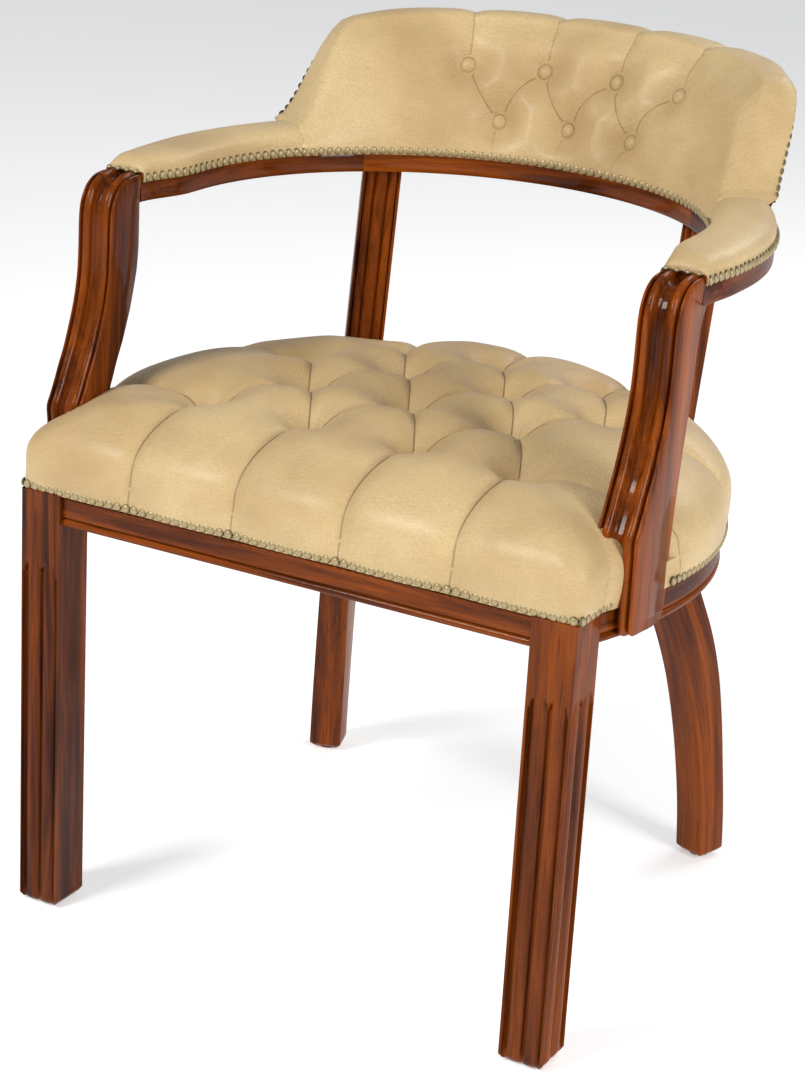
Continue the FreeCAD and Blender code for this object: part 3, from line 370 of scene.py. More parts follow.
def woven(name, dark, light, pitch):
    """Crossing threads at an even pitch."""
    look = Look(name)
    across, along = (look.node("ShaderNodeTexWave",
                               {"Vector": look.where(), "Scale": 1 / pitch, "Distortion": 0.4},
                               output="Fac", bands_direction=way) for way in "XY")
    thread = across * 0.5 + along * 0.5
    look.give("Base Color", look.mix(thread, dark, light))
    look.give("Roughness", thread * 0.1 + 0.8)
    look.bump(thread, 0.0004, 0.8)
    return look.material


old_brass = brass("antique_brass")
beech = speckled("beech", colour(176, 128, 78), colour(206, 164, 112), 30.0, 0.5, 0.0002, 0.0, (1, 1, 6))
steel = speckled("steel", colour(120, 120, 124), colour(160, 160, 164), 300.0, 0.3, 0.00005, 1.0)
glide_plastic = speckled("glide", colour(40, 38, 36), colour(60, 57, 54), 400.0, 0.5, 0.0001)
web = woven("webbing", colour(120, 98, 66), colour(166, 140, 98), 0.004)
lining = woven("lining", colour(22, 21, 20), colour(44, 42, 40), 0.0016)
INSIDE = {"beech": beech, "steel": steel, "glide": glide_plastic, "webbing": web, "lining": lining,
          "mahogany": mahogany}
print(len(INSIDE), "finishes inside")

# %% [markdown]
# ## Front legs
# A leg is a square post. Its front and its outer face carry two round reeds with a deep quirk between
# them. The reeds stop below the seat rail under a small round nose, and above it the leg is plain.


# %% Reeded front legs
def reeds(u, size):
    """How far a face with two reeds is cut back at share u of its width; the quirk between is deep."""
    bead = np.where(u < 0.5, (u - 0.295) / 0.2, (u - 0.705) / 0.2)
    cut = 1 - np.clip(1 - bead**2, 0, 1) ** 0.72
    edge = np.minimum(u, 1 - u)
    return np.where(edge < 0.055, 0.0, np.where(edge < 0.11, 0.6, 1.0) * cut * size)


GLIDE, REED_STOP, NOSE, REED_DEPTH = 0.003, 0.036, 0.014, 0.0058


def reeded_leg():
    """Rings up the leg: the reeds end at a stop, which bows up in the middle of each reed."""
    u = np.r_[np.linspace(0, 0.05, 3), np.linspace(0.062, 0.938, 56), np.linspace(0.95, 1, 3)]
    stop = RAIL_Z - REED_STOP
    z = np.r_[GLIDE, 0.0045, 0.007, 0.010, 0.013, np.linspace(0.016, stop - 0.02, 24),
              np.linspace(stop - 0.018, stop + 0.004, 23), RAIL_Z,
              NAIL_Z - 0.004, NAIL_Z - 0.0025, RAIL_TOP]
    nose = NOSE * np.sqrt(np.clip(1 - (np.where(u < 0.5, (u - 0.295), (u - 0.705)) / 0.2) ** 2, 0, 1))
    share = ease((stop - 0.012 + nose[None, :]
                  - z[:, None]) / 0.006) * (0.3 + 0.7 * ease((z[:, None] - GLIDE) / 0.012))
    cut = reeds(u, REED_DEPTH)[None, :] * share
    covered = z > NAIL_Z - 0.003
    under = np.where(covered, RAIL_BACK, 0.0)
    foot = np.interp(z, [GLIDE, 0.007], [0.0025, 0])
    x0, x1, y0, y1 = LEG_IN + foot, LEG_OUT - foot, FRONT + foot + under, LEG_BACK - foot
    outer = x1 - np.where(covered, REBATE, 0.0)
    level = np.broadcast_to(z[:, None], cut.shape)
    front = np.stack([x0[:, None] + (outer - x0)[:, None] * u, y0[:, None] + cut, level], -1)
    side = np.stack([outer[:, None] - cut, y0[:, None] + (y1 - y0)[:, None] * u, level], -1)
    corners = ((outer - 0.002, y1), (x0 + 0.0015, y1), (x0, y1 - 0.0015))
    behind = np.stack([np.stack([x, y, z], -1) for x, y in corners], 1)
    return np.concatenate([front[:, :-1], side[:, 1:-1], behind], 1)


leg = reeded_leg()
both_sides("front_leg", leg, ["front_leg"], mahogany, leg.copy(), 32.0)
print("front legs", leg.shape)

# %% [markdown]
# ## Seat rails
# One moulding runs all round under the seat: a bead at the bottom, a fine quirk, a flat face, and a
# small step under the leather. It is drawn once and carried along the D of the seat.


# %% The D of the seat, seen from above
def seat_line(grow=0.0, corner=0.001, count=2400):
    """Half the outline of the seat, from mid front to mid back, grown outwards."""
    front, side, radius, sweep = FRONT + RAIL_BACK - grow, SIDE + grow, SEAT_R + grow, SWEEP + grow
    bend = np.linspace(-np.pi / 2, 0, 40)
    swing = np.arcsin((SEAT_Y - LEG_BACK) / sweep)
    turn = np.linspace(-swing, 0, 400)
    round_ = np.linspace(0, np.pi / 2, 900)
    parts = [
        np.stack([np.linspace(0, side - corner, 300), np.full(300, front)], 1),
        np.stack([side - corner + corner * np.cos(bend), front + corner + corner * np.sin(bend)], 1),
        np.stack([np.full(40, side), np.linspace(front + corner, LEG_BACK, 40)], 1),
        np.stack([radius - sweep + sweep * np.cos(turn), SEAT_Y + sweep * np.sin(turn)], 1),
        np.stack([radius * np.cos(round_), SEAT_Y + radius * np.sin(round_)], 1),
    ]
    return even(np.vstack(parts), count)


def moulding():
    """The section of a rail (out, up): bead, quirk, face, step; closed behind."""
    bead = np.linspace(-np.pi / 2, np.pi / 2, 9)
    low = np.stack([-0.0034 + 0.0034 * np.cos(bead), 0.0036 + 0.0036 * np.sin(bead)], 1)
    rest = np.array([[-0.0034, 0.0078], [-0.0016, 0.0086], [-0.0008, 0.0094], [-0.0008, 0.0262],
                     [-0.0010, 0.0270], [-0.0020, 0.0275],
                     [-0.0024,
                      0.0282], [-0.0026,
                                0.0525], [-0.0035,
                                          0.053], [-0.0275,
                                                   0.053], [-0.028,
                                                            0.0525], [-0.028, 0.0005], [-0.0275, 0.0]])
    return np.vstack([low, rest])


def along(path, profile):
    """Rings of a profile (out, up) carried along a level path; out is square to it, away from the seat."""
    way = np.gradient(path, axis=0)
    way /= np.linalg.norm(way, axis=1, keepdims=True)
    out = np.stack([way[:, 1], -way[:, 0]], 1)
    flat = path[:, None, :] + out[:, None, :] * profile[None, :, :1]
    up = np.broadcast_to(RAIL_Z + profile[None, :, 1:], flat.shape[:2] + (1,))
    return np.concatenate([flat, up], 2)


def run_grain(rings, step):
    """Grain for a piece whose length runs from ring to ring."""
    middle = rings.mean(1)
    length = np.r_[0, np.cumsum(np.linalg.norm(np.diff(middle, axis=0), axis=1))]
    spot = rings - middle[:, None, :]
    along_it = np.broadcast_to(length[:, None], spot.shape[:2])
    return np.stack([np.linalg.norm(spot[..., :2], axis=-1) + step, spot[..., 2] + step, along_it], -1)


profile = moulding()
half = seat_line()
RAIL_JOINT = 24
angle = np.degrees(np.arctan2(half[:, 0], half[:, 1] - SEAT_Y))
straight = np.stack([np.linspace(-LEG_IN, LEG_IN, 12), np.full(12, FRONT + RAIL_BACK)], 1)
front_rings = along(straight, profile)
front_rail = solid("front_seat_rail", front_rings, mahogany, front_rings[..., [1, 2, 0]], None,
                   30)
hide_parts("front_seat_rail")
side_path = half[(half[:, 1] >= LEG_BACK) & (angle > RAIL_JOINT)][::9]
side_rings = along(side_path, profile)
both_sides("side_seat_rail", side_rings, ["side_seat_rail"], mahogany,
           run_grain(side_rings, 0.1), 30)
turn = np.radians(np.linspace(RAIL_JOINT, -RAIL_JOINT, 60))
back_path = np.stack([SEAT_R * np.sin(turn), SEAT_Y + SEAT_R * np.cos(turn)], 1)
back_rings = along(back_path, profile)
back_rail = solid("back_seat_rail", back_rings, mahogany, run_grain(back_rings, 0.2), None, 30)
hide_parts("back_seat_rail")
print("rails", front_rings.shape, side_rings.shape, back_rings.shape)

# %% [markdown]
# ## Rear legs
# A sabre leg sweeps out and down from the back of the seat. Its section is a square with softened
# corners, turned a little, deeper towards the top, and the foot is rounded underneath.


# %% Sabre legs
def softened(wide, deep, corner, count=6):
    """Corners of rectangles (wide, deep) with rounded corners, one ring for each size."""
    bend = np.linspace(0, np.pi / 2, count)
    ring = []
    for quarter, (sx, sy) in enumerate(((1, 1), (-1, 1), (-1, -1), (1, -1))):
        t = bend + quarter * np.pi / 2
        ring.append(np.stack([sx * (wide / 2 - corner)[:, None] + corner[:, None] * np.cos(t),
                              sy * (deep / 2 - corner)[:, None] + corner[:, None] * np.sin(t)], -1))
    return np.concatenate(ring, 1)


LEG_TURN, LEG_ANGLE = math.radians(18), math.radians(37)
# Each level: height, distance out from the centre of the seat, width, depth.
levels = through([(GLIDE, 0.3685, 0.034, 0.034), (0.05, 0.3648, 0.034, 0.0345),
                  (0.10, 0.3584, 0.0335, 0.0365),
                  (0.15, 0.3505, 0.0325,
                   0.041), (0.20, 0.3400, 0.0315, 0.0465), (0.245, 0.3262, 0.031, 0.0505),
                  (0.2935, 0.3065, 0.031,
                   0.052), (0.34, 0.289, 0.031, 0.050), (0.387, 0.2735, 0.031, 0.046)], 90)
height, reach, wide, deep = levels.T
corner = np.full(len(height), 0.0017)
flat = softened(wide, deep, corner)
foot = 0.004 * (1 - np.sqrt(np.clip(1 - ((0.009 - height) / 0.006).clip(0, 1) ** 2, 0, 1)))
flat *= (1 - 2 * foot / 0.034)[:, None, None]
cos_t, sin_t = math.cos(LEG_TURN), math.sin(LEG_TURN)
leg_x = flat[..., 0] * cos_t + flat[..., 1] * sin_t + (reach * math.sin(LEG_ANGLE))[:, None]
leg_y = -flat[..., 0] * sin_t + flat[..., 1] * cos_t + (SEAT_Y + reach * math.cos(LEG_ANGLE))[:, None]
sabre = np.stack([leg_x, leg_y, np.broadcast_to(height[:, None], leg_x.shape)], -1)
sabre_grain = np.concatenate([flat + 0.3, sabre[..., 2:]], -1)
both_sides("rear_leg", sabre, ["rear_leg"], mahogany, sabre_grain, 35)
print("rear legs", sabre.shape)

# %% [markdown]
# ## Arm posts
# Seen from the side a post is an S that ends in a scroll. Pairs of points, one on the front edge and
# one on the back edge, say how it runs. Across its front go a small bead, a quirk, a larger bead and
# a wide hollow, then the same again the other way round. Below the seat the post is cut back to lap
# over the rail.


# %% Arm posts
BEAD_DEPTH = 0.0086


def post_front(x):
    """How far the front is cut back at x: beads at both edges, a narrow hollow between."""
    u = (x - POST_IN) / (POST_OUT - POST_IN)
    u = np.minimum(u, 1 - u)
    small = 0.22 + 0.78 * (1 - np.clip(1 - ((u - 0.06) / 0.06) ** 2, 0, 1) ** 0.6)
    large = 1 - np.clip(1 - ((u - 0.24) / 0.125) ** 2, 0, 1) ** 0.6
    hollow = 1 - 0.3 * np.clip((0.44 - u) / 0.075, 0, 1)
    return BEAD_DEPTH * np.where(u < 0.118, small, np.where(u < 0.365, large, hollow))


# The front edge and the back edge, each as distance behind the legs' faces and height from the floor.
PAIRS = [
    (0.0800, 0.3880, 0.1080, 0.3880), (0.0690, 0.3893, 0.1210, 0.3893), (0.0625, 0.3945, 0.1290, 0.3950),
    (0.0600, 0.4040, 0.1316, 0.4060), (0.0600, 0.4250, 0.1318, 0.4260), (0.0600, 0.4385, 0.1320, 0.4385),
    (0.0600, 0.4415, 0.1322, 0.4415), (0.0600, 0.4600, 0.1330, 0.4600), (0.0588, 0.4725, 0.1340, 0.4730),
    (0.0600, 0.4795, 0.1345, 0.4785), (0.0646, 0.4880, 0.1352, 0.4870), (0.0705, 0.4995, 0.1366, 0.4990),
    (0.0760, 0.5115, 0.1380, 0.5120), (0.0850, 0.5300, 0.1402, 0.5300), (0.0955, 0.5580, 0.1445, 0.5580),
    (0.1005, 0.5760, 0.1470, 0.5760), (0.1038, 0.5950, 0.1492, 0.5940), (0.1050, 0.6180, 0.1510, 0.6130),
    (0.1052, 0.6380, 0.1524, 0.6260), (0.1062, 0.6520, 0.1546, 0.6380), (0.1090, 0.6625, 0.1580, 0.6480),
    (0.1145, 0.6720, 0.1622, 0.6558), (0.1220, 0.6785, 0.1518, 0.6585), (0.1310, 0.6825, 0.1518, 0.6640),
    (0.1410, 0.6840, 0.1518, 0.6670), (0.1518, 0.6840, 0.1518, 0.6690),
]
edge = through(PAIRS, 190)
front_yz, rear_yz = edge[:, :2], edge[:, 2:]
way = np.gradient(front_yz, axis=0)
way /= np.linalg.norm(way, axis=1, keepdims=True)
inwards = np.stack([way[:, 1], -way[:, 0]], 1)
across = np.linspace(0, 1, 91)
# The inner half of the post is slimmer: its back edge follows the S.
waist_z = [0.44, 0.472, 0.4785, 0.487, 0.499, 0.512, 0.53, 0.558, 0.576, 0.594, 0.613]
waist_y = [0.104, 0.1042, 0.106, 0.109, 0.1142, 0.1195, 0.1285, 0.1395, 0.1445, 0.149, 0.1512]
waist = np.minimum(rear_yz[:, 0], np.interp(rear_yz[:, 1], waist_z, waist_y))
waist_yz = np.stack([waist, rear_yz[:, 1]], 1)
lapped = edge[:, 1] < RAIL_TOP
inner_x = np.where(lapped, POST_LAP, POST_IN)
xs = inner_x[:, None] + (POST_OUT - inner_x)[:, None] * across
cut = post_front(xs) * ease((edge[:, 1] - 0.386) / 0.004)[:, None]
front_y = FRONT + front_yz[:, :1] + inwards[:, :1] * cut
front_face = np.stack([xs, front_y, front_yz[:, 1:] + inwards[:, 1:] * cut], -1)
toward = front_yz - rear_yz
toward /= np.linalg.norm(toward, axis=1, keepdims=True)


def rear_points(line, xs, offs):
    """Points across the back of the post: a place across and a step towards the front for each."""
    spots = [np.stack([x + 0 * inner_x, FRONT + line[:, 0] + toward[:, 0] * off, line[:, 1] + toward[:, 1]
                       * off], -1)
             for x, off in zip(xs, offs)]
    return np.stack(spots, 1)


outer_back = rear_points(rear_yz, (POST_OUT, POST_OUT - 0.0008, POST_OUT - 0.0025, POST_LAP),
                         (0.0022, 0.0008, 0, 0))
inner_back = rear_points(waist_yz, (POST_LAP, inner_x + 0.0025, inner_x + 0.0008, inner_x),
                         (0, 0, 0.0008, 0.0022))
back_face = np.concatenate([outer_back, inner_back], 1)
post = np.concatenate([front_face, back_face], 1)
both_sides("arm_post", post, ["arm_post"], mahogany, post + 0.11, 32)
print("arm posts", post.shape)

# %% [markdown]
# ## Horseshoe and back posts
# The arm rail is one line in three pieces: straight arms that narrow to the posts, and a half round
# behind. A fine groove runs on its inner face just under the leather, and its lower edges are soft.


# %% Horseshoe
ARM_RADIUS = 0.276


def arm_line(first, last, count):
    """Inner and outer edge of the right-hand arm, from distance along it: straight in front, round behind.

    first and last are angles off straight back; past 90 degrees they count on along the straight arm,
    one degree for each degree's worth of length along the middle of the rail."""
    step = np.radians(1) * ARM_RADIUS
    turn = np.linspace(first, last, count)
    t = np.radians(np.minimum(turn, 90))
    forward = np.maximum(turn - 90, 0) * step
    narrow = ease((forward - (BOW_Y - FRONT - 0.215)) / 0.062)
    inner = BOW_IN + (POST_IN - BOW_IN) * narrow
    outer = BOW_OUT + (POST_OUT - BOW_OUT) * narrow
    shift = np.stack([np.zeros(count), BOW_Y - forward], 1)
    way = np.stack([np.sin(t), np.cos(t)], 1)
    return turn, shift + way * inner[:, None], shift + way * outer[:, None]


SPLIT, POST_BACK = 45.0, 0.1518
ARM_END = 90 + math.degrees((BOW_Y - FRONT - POST_BACK) / ARM_RADIUS)


def bow_rings(first, last, count):
    """Rings of the rail's section between its two edges (share across, height)."""
    soft = 0.004
    groove = [(0.0, 0.018), (0.004, 0.0186), (0.016, 0.0192), (0.016, 0.0204), (0.004, 0.021),
              (0.0, 0.0215)]
    top = [(0.0, 0.0265), (0.006, 0.027), (0.994, 0.027), (1.0, 0.0265)]
    bottom = [(1.0, soft), (0.995, 0.0018), (0.975, 0.0004), (0.94, 0.0),
              (0.05, 0.0), (0.02, 0.0004), (0.006, 0.0016), (0.0, soft)]
    share, up = np.array(groove + top + bottom).T
    _, inner, outer = arm_line(first, last, count)
    flat = inner[:, None, :] + (outer - inner)[:, None, :] * share[None, :, None]
    high = np.broadcast_to(BOW_Z + up[None, :, None], flat.shape[:2] + (1,))
    return np.concatenate([flat, high], 2)


mirror_half = bow_rings(0, SPLIT, 45)
centre = np.concatenate([mirror_half[:0:-1] * np.array([-1, 1, 1]), mirror_half], 0)
bow = solid("bow_centre_rail", centre, mahogany, run_grain(centre, 0.3), None, 30)
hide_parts("bow_centre_rail")
arm = bow_rings(SPLIT, ARM_END, 120)
both_sides("arm_rail", arm, ["arm_rail"], mahogany, run_grain(arm, 0.4), 30)
print("horseshoe", centre.shape, arm.shape)


# %% Back posts, with three reeds in front
FOOT_ANGLE, HEAD_ANGLE, POST_TURN = (math.radians(v) for v in (36.3, 39.4, 32))


def back_post():
    """Rings from the seat rail to the horseshoe; the front is three half-rounds between flat edges."""
    u = np.linspace(0, 1, 64)
    local = np.where(u < 0.34, (u - 0.2) / 0.115, np.where(u < 0.66, (u - 0.5) / 0.155, (u - 0.8) / 0.115))
    round_ = 1 - np.sqrt(np.clip(1 - local**2, 0, 1))
    depth = np.where((u < 0.07) | (u > 0.93), 0.15, round_) * 0.0046
    share = np.linspace(0, 1, 30)
    foot, head = SEAT_R - 0.014, BOW_OUT - 0.0285
    x0, x1 = foot * math.sin(FOOT_ANGLE), head * math.sin(HEAD_ANGLE)
    y0, y1 = SEAT_Y + foot * math.cos(FOOT_ANGLE), BOW_Y + head * math.cos(HEAD_ANGLE)
    x, y, z = x0 + (x1 - x0) * share, y0 + (y1 - y0) * share, RAIL_TOP + (BOW_Z - RAIL_TOP) * share
    half_w, half_d = 0.019, 0.013
    soft = 0.002
    rear = [[half_w, half_d - soft], [half_w - soft, half_d], [-half_w + soft, half_d],
            [-half_w, half_d - soft]]
    ring = np.vstack([np.stack([-half_w + 2 * half_w * u, -half_d + depth], 1), rear])
    px = x[:, None] + ring[None, :, 0] * math.cos(POST_TURN) + ring[None, :, 1] * math.sin(POST_TURN)
    py = y[:, None] - ring[None, :, 0] * math.sin(POST_TURN) + ring[None, :, 1] * math.cos(POST_TURN)
    return np.stack([px, py, np.broadcast_to(z[:, None], px.shape)], -1)


stile = back_post()
both_sides("back_post", stile, ["back_post"], mahogany, stile + 0.21, 32)
print("back posts", stile.shape)

# %% [markdown]
# ## The padded back
# One line says how high the back is at each angle: a low arch, then a smooth S down to the arm pads.
# The board stands behind the padding and its rim shows. The leather is a section of smooth points:
# nailed under the edge of the horseshoe, up the face, over the crest and down to the board's outer edge.

# %% Height of the back, and its board
BACK_END = 60.0
BOARD_OUT = BOW_OUT - 0.007
LEAN, BOARD_SHARE = 0.43, 0.875
CREST, CREST_DROP, PAD_MEET, SHOULDER = 0.1265, 0.0125, 0.0195, 44.5


def back_top(angle):
    """Height of the back over the horseshoe at an angle: an arch, then an S down to the arm pad."""
    a = np.abs(angle)
    arch = CREST - CREST_DROP * (np.minimum(a, 45) / 45) ** 4
    return arch + (PAD_MEET - arch) * ease((a - SHOULDER) / (BACK_END + 0.5 - SHOULDER))


def lean(angle):
    """Outward lean of the back: a little less over the shoulders."""
    return LEAN - 0.07 * ease((np.abs(angle) - 36) / 8)


def spot_at(angle, radius, height):
    """Places at an angle off straight back, a distance from the horseshoe's middle and a height."""
    t = np.radians(angle)
    return np.stack([radius * np.sin(t), BOW_Y + radius * np.cos(t), BOW_TOP + height], -1)


turn = np.linspace(-BACK_END, BACK_END, 180)
rise = back_top(turn) * BOARD_SHARE
# The board's section, round from its foot: share of its height, distance in from its outer face.
shares = np.array([(0.0, -0.014), (0.0, -0.001), (0.0, 0.0), (0.5, 0.0), (0.97, 0.0),
                   (0.99, -0.0012), (1.0, -0.003), (1.0, -0.0115), (0.99, -0.0135), (0.5, -0.014)])
up = rise[:, None] * shares[:, 0]
board = spot_at(turn[:, None], BOARD_OUT + shares[:, 1] + lean(turn)[:, None] * up, up)
board_item = solid("back_board", board, mahogany, run_grain(board, 0.5), None, 30)
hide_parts("back_board")
print("board", board.shape)

# %% [markdown]
# ## Buttoning
# Buttons pull the leather down in funnels, and folds run from button to button. The depth at a point
# depends on two distances: to the nearest button, and to the nearest fold. A fold falls off the same
# way on both sides; its distance is signed by its side.


# %% Funnels and folds
# The core and rounded bottom of a fold, the depth of a full one, how far the ring of painted shade
# round a button reaches and where it starts to fade, and the distance that stands for no fold nearby.
CORE, ROUNDED, DEEP, BUTTON_SHADE_REACH, BUTTON_EDGE, FAR = 0.0042, 0.0012, 0.016, 0.0105, 0.0074, 0.01


def lap(points, fold):
    """Distance from points (n, 2) to a fold, signed by its side, and the fold's depth beside each point."""
    (ax, ay), (bx, by), start, stop, middle = fold
    run = np.array([bx - ax, by - ay])
    rel = points - np.array([ax, ay])
    t = np.clip(rel @ run / (run @ run), 0, 1)
    bow = 0.004 * np.sin(np.pi * t)
    side = (rel[:, 0] * run[1] - rel[:, 1] * run[0]) / np.linalg.norm(run) - bow
    gap = np.where((t > 0) & (t < 1), np.abs(side), np.linalg.norm(rel - t[:, None] * run, axis=1))
    return np.copysign(gap, side), start + (stop - start) * t - middle * np.sin(np.pi * t)


def buttoned(points, buttons, folds, funnel, puff):
    """Depth of the leather at each point, then the marks for the painted shade: how strong the nearest
    fold is (0 to 1) and the distance to it. Round each button they mark a ring of painted shade.

    A fold's depth falls off as (1 - distance / puff) squared with a sharp core, a button's as a bell;
    they are joined by adding their fourth powers and taking the fourth root, so no edge shows between."""
    total = np.zeros(len(points))
    seam, fold = np.full(len(points), FAR), np.zeros(len(points))
    for entry in folds:
        signed, size = lap(points, entry)
        gap = np.sqrt(signed**2 + ROUNDED**2)
        broad = np.clip(1 - gap / puff, 0, 1) ** 2
        total += (size * (0.6 * broad + 0.4 * np.exp(-gap / CORE))) ** 4
        # The nearest fold's strength and signed distance are kept as marks for the painted shade along it.
        near = np.abs(signed) < np.abs(seam)
        seam = np.where(near, signed, seam)
        fold = np.where(near, np.clip(size / DEEP, 0, 0.8), fold)
    for spot in buttons:
        near = np.linalg.norm(points - np.array(spot), axis=1)
        bell = 0.55 * np.exp(-((near / (0.85 * puff)) ** 1.6)) + 0.45 * np.exp(-((near / 0.021) ** 2))
        total += (funnel * bell) ** 4
        # Painted shade: within this reach of a button the mark turns into a dark ring round it.
        ring = near < BUTTON_SHADE_REACH
        fold = np.where(ring, 0.45, fold)
        seam = np.where(ring, np.clip(near - BUTTON_EDGE, 0, FAR), seam)
    return total**0.25, fold, seam


def normals(grid, closed):
    """Unit normals of a grid of points (n, m, 3), from its two directions."""
    down = np.gradient(grid, axis=0)
    side = (np.roll(grid, -1, 1) - np.roll(grid, 1, 1)) / 2 if closed else np.gradient(grid, axis=1)
    cross = np.cross(side, down)
    return cross / np.maximum(np.linalg.norm(cross, axis=2, keepdims=True), 1e-12)


# %% The leather of the back
# Degrees between buttons, metres of leather to a degree, points across and up, degrees past the end.
STEP, UNROLL = 15.4, 0.29 * np.pi / 180
BACK_ACROSS, BACK_UP, PAST_END, FACE_LEAN = 361, 150, 0.4, 0.4
HIGH, LOW = 0.0835, 0.0315
back_high = [((i - 1.5) * STEP * UNROLL, HIGH) for i in range(4)]
back_low = [((i - 1) * STEP * UNROLL, LOW) for i in range(3)]
back_folds = []
for i, (x, y) in enumerate(back_high):
    back_folds.append(((x, y), (x * 1.04, 0.15), 0.0085, 0.003, 0.0))
    for j in (i - 1, i):
        if 0 <= j < 3:
            back_folds.append(((x, y), back_low[j], 0.0105, 0.0105, 0.002))
for x, y in back_low:
    back_folds.append(((x, y), (x * 0.97, -0.004), 0.0085, 0.001, 0.0))
back_folds.append((back_high[0], (back_high[0][0] - 0.032, 0.034), 0.0026, 0.0, 0.0))
back_folds.append((back_high[3], (back_high[3][0] + 0.032, 0.034), 0.0026, 0.0, 0.0))


def back_section(angle, count):
    """Points (distance out, height) of the leather's section at each angle."""
    high = back_top(angle)[:, None]
    full = np.clip(high / 0.13, 0, 1)
    face = BOW_IN + FACE_LEAN * high
    outer, tilt = BOARD_OUT + 0.0018, lean(angle)[:, None]
    stops = [(BOW_IN + 0.0002, -0.0095), (BOW_IN - 0.0018, -0.006), (BOW_IN - 0.0024, 0.000)]
    for part, swell, more in ((0.16, 0.0055, 0.0012), (0.36, 0.0075, 0), (0.58, 0.0065, 0),
                              (0.78, 0.002, 0)):
        stops.append((BOW_IN + FACE_LEAN * part * high - swell * full - more, part * high))
    stops += [(face + 0.004 * full + 0.002, 0.925 * high), (face + 0.013, 0.987 * high),
              (face + 0.024, high)]
    stops.append((outer + tilt * high - 0.010, 0.985 * high))
    for part, up, proud in ((0.95, 0.935, -0.0005), (0.88, 0.88, 0.0006), (0.83, 0.83, 0)):
        stops.append((outer + tilt * part * high + proud, up * high))
    table = np.stack([np.concatenate([np.broadcast_to(v, high.shape) for v in stop], 1) for stop in stops],
                     1)
    line = np.stack([through(row, 260) for row in table[:: max(1, len(angle) // 60)]])
    picks = np.linspace(0, len(line) - 1, len(angle))
    low = np.minimum(picks.astype(int), len(line) - 2)
    mixed = line[low] + (picks - low)[:, None, None] * (line[low + 1] - line[low])
    lengths = np.linalg.norm(np.diff(mixed, axis=1), axis=2)
    run = np.concatenate([np.zeros((len(angle), 1)), np.cumsum(lengths, 1)], 1)
    want = np.linspace(0, 1, count)
    return np.stack([np.stack([np.interp(want * r[-1], r, m[:, k]) for k in (0, 1)], 1)
                     for r, m in zip(run, mixed)])


turn = np.linspace(-BACK_END - PAST_END, BACK_END + PAST_END, BACK_ACROSS)
section = back_section(turn, BACK_UP)
skin = spot_at(turn[:, None], section[..., 0], section[..., 1])
crest = section[..., 1].max(1, keepdims=True)
past = np.arange(BACK_UP) > section[..., 1].argmax(1)[:, None]
unrolled = np.where(past, 2 * crest - section[..., 1], section[..., 1])
flat = np.stack([np.broadcast_to((turn * UNROLL)[:, None], section.shape[:2]), unrolled], -1).reshape(-1, 2)
depth, fold, seam = buttoned(flat, back_high + back_low, back_folds, 0.0185, 0.03)
front_side = ease((1 - np.linspace(0, 1, BACK_UP)) / 0.12)[None, :]
near_rail = np.where(past, 1.0, ease((section[..., 1] + 0.004) / 0.02))
depth = depth.reshape(section.shape[:2]) * front_side * near_rail
end = 1 - ease((BACK_END + PAST_END - np.abs(turn)) / 0.9)
outwards = normals(skin, False)
if (outwards[BACK_ACROSS // 2, 60] @ np.array([0, -1, 0])) < 0:
    outwards = -outwards
skin = skin - outwards * (depth + 0.0022 * end[:, None] ** 2)[..., None]
inside = spot_at(turn[:, None], np.array([[BOARD_OUT - 0.010, BOW_IN + 0.006]]) + 0 * turn[:, None],
                 np.stack([0.3 * back_top(turn), 0.0006 + 0 * turn], 1))
first_in = spot_at(turn[:, None], section[:, -1:, 0] - 0.0035, section[:, -1:, 1])
column = np.ones((len(turn), 1))
last_in = spot_at(turn[:, None], column * (BOW_IN + 0.0003), column * 0.0005)
inside = np.concatenate([first_in, inside, last_in], 1)
back_grid = np.concatenate([skin, inside], 1)
# The fold and seam marks place the painted shade along the folds and round the buttons; the inside gets
# none.
marks = {label: np.concatenate([m.reshape(section.shape[:2]), np.full(inside.shape[:2], v)], 1).ravel()
         for label, m, v in (("fold", fold, 0), ("seam", seam, FAR))}
cushion = solid("back_cushion", back_grid, hide, None, marks, 60)
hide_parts("back_foam", "back_cover")
print("back", back_grid.shape)

# %% [markdown]
# ## The seat
# The seat swells a little past the rails, rolls over at the edge and rises to a low crown. Its rings
# start at one button in the middle and spread to the outline, so they never cross. Folds run from the
# outer buttons straight to the edges.

# %% The leather of the seat
ACROSS, FIRST_ROW, ROW_STEP = 0.108, 0.118, 0.088
PLACES = ((-1.5, -0.5, 0.5, 1.5), (-1, 0, 1)) * 2
ROWS = [(FRONT + FIRST_ROW + ROW_STEP * i, steps) for i, steps in enumerate(PLACES)]
POLE = np.array([0.0, ROWS[1][0]])
seat_buttons = [(ACROSS * step, y) for y, steps in ROWS for step in steps]
FOLD, FOLD_END, HEM = 0.021, 0.006, 0.0045
seat_folds = []
for (y, steps), (next_y, next_steps) in zip(ROWS[:-1], ROWS[1:]):
    seat_folds += [((ACROSS * a, y), (ACROSS * b, next_y), FOLD, FOLD, 0.005)
                   for a in steps for b in next_steps if abs(abs(a - b) - 0.5) < 0.01]
seat_folds += [((ACROSS * a, ROWS[0][0]), (ACROSS * a, FRONT - 0.03), FOLD, FOLD_END,
                0.0) for a in ROWS[0][1]]
seat_folds += [((ACROSS * a, ROWS[3][0]), (0.13 * a, FRONT + 0.52), FOLD, FOLD_END,
                0.0) for a in ROWS[3][1]]
seat_folds += [((sign * 1.5 * ACROSS, ROWS[row][0]), (sign * 0.34, FRONT + out), FOLD, FOLD_END, 0.0)
               for sign in (-1, 1) for row, out in ((0, 0.158), (2, 0.285))]

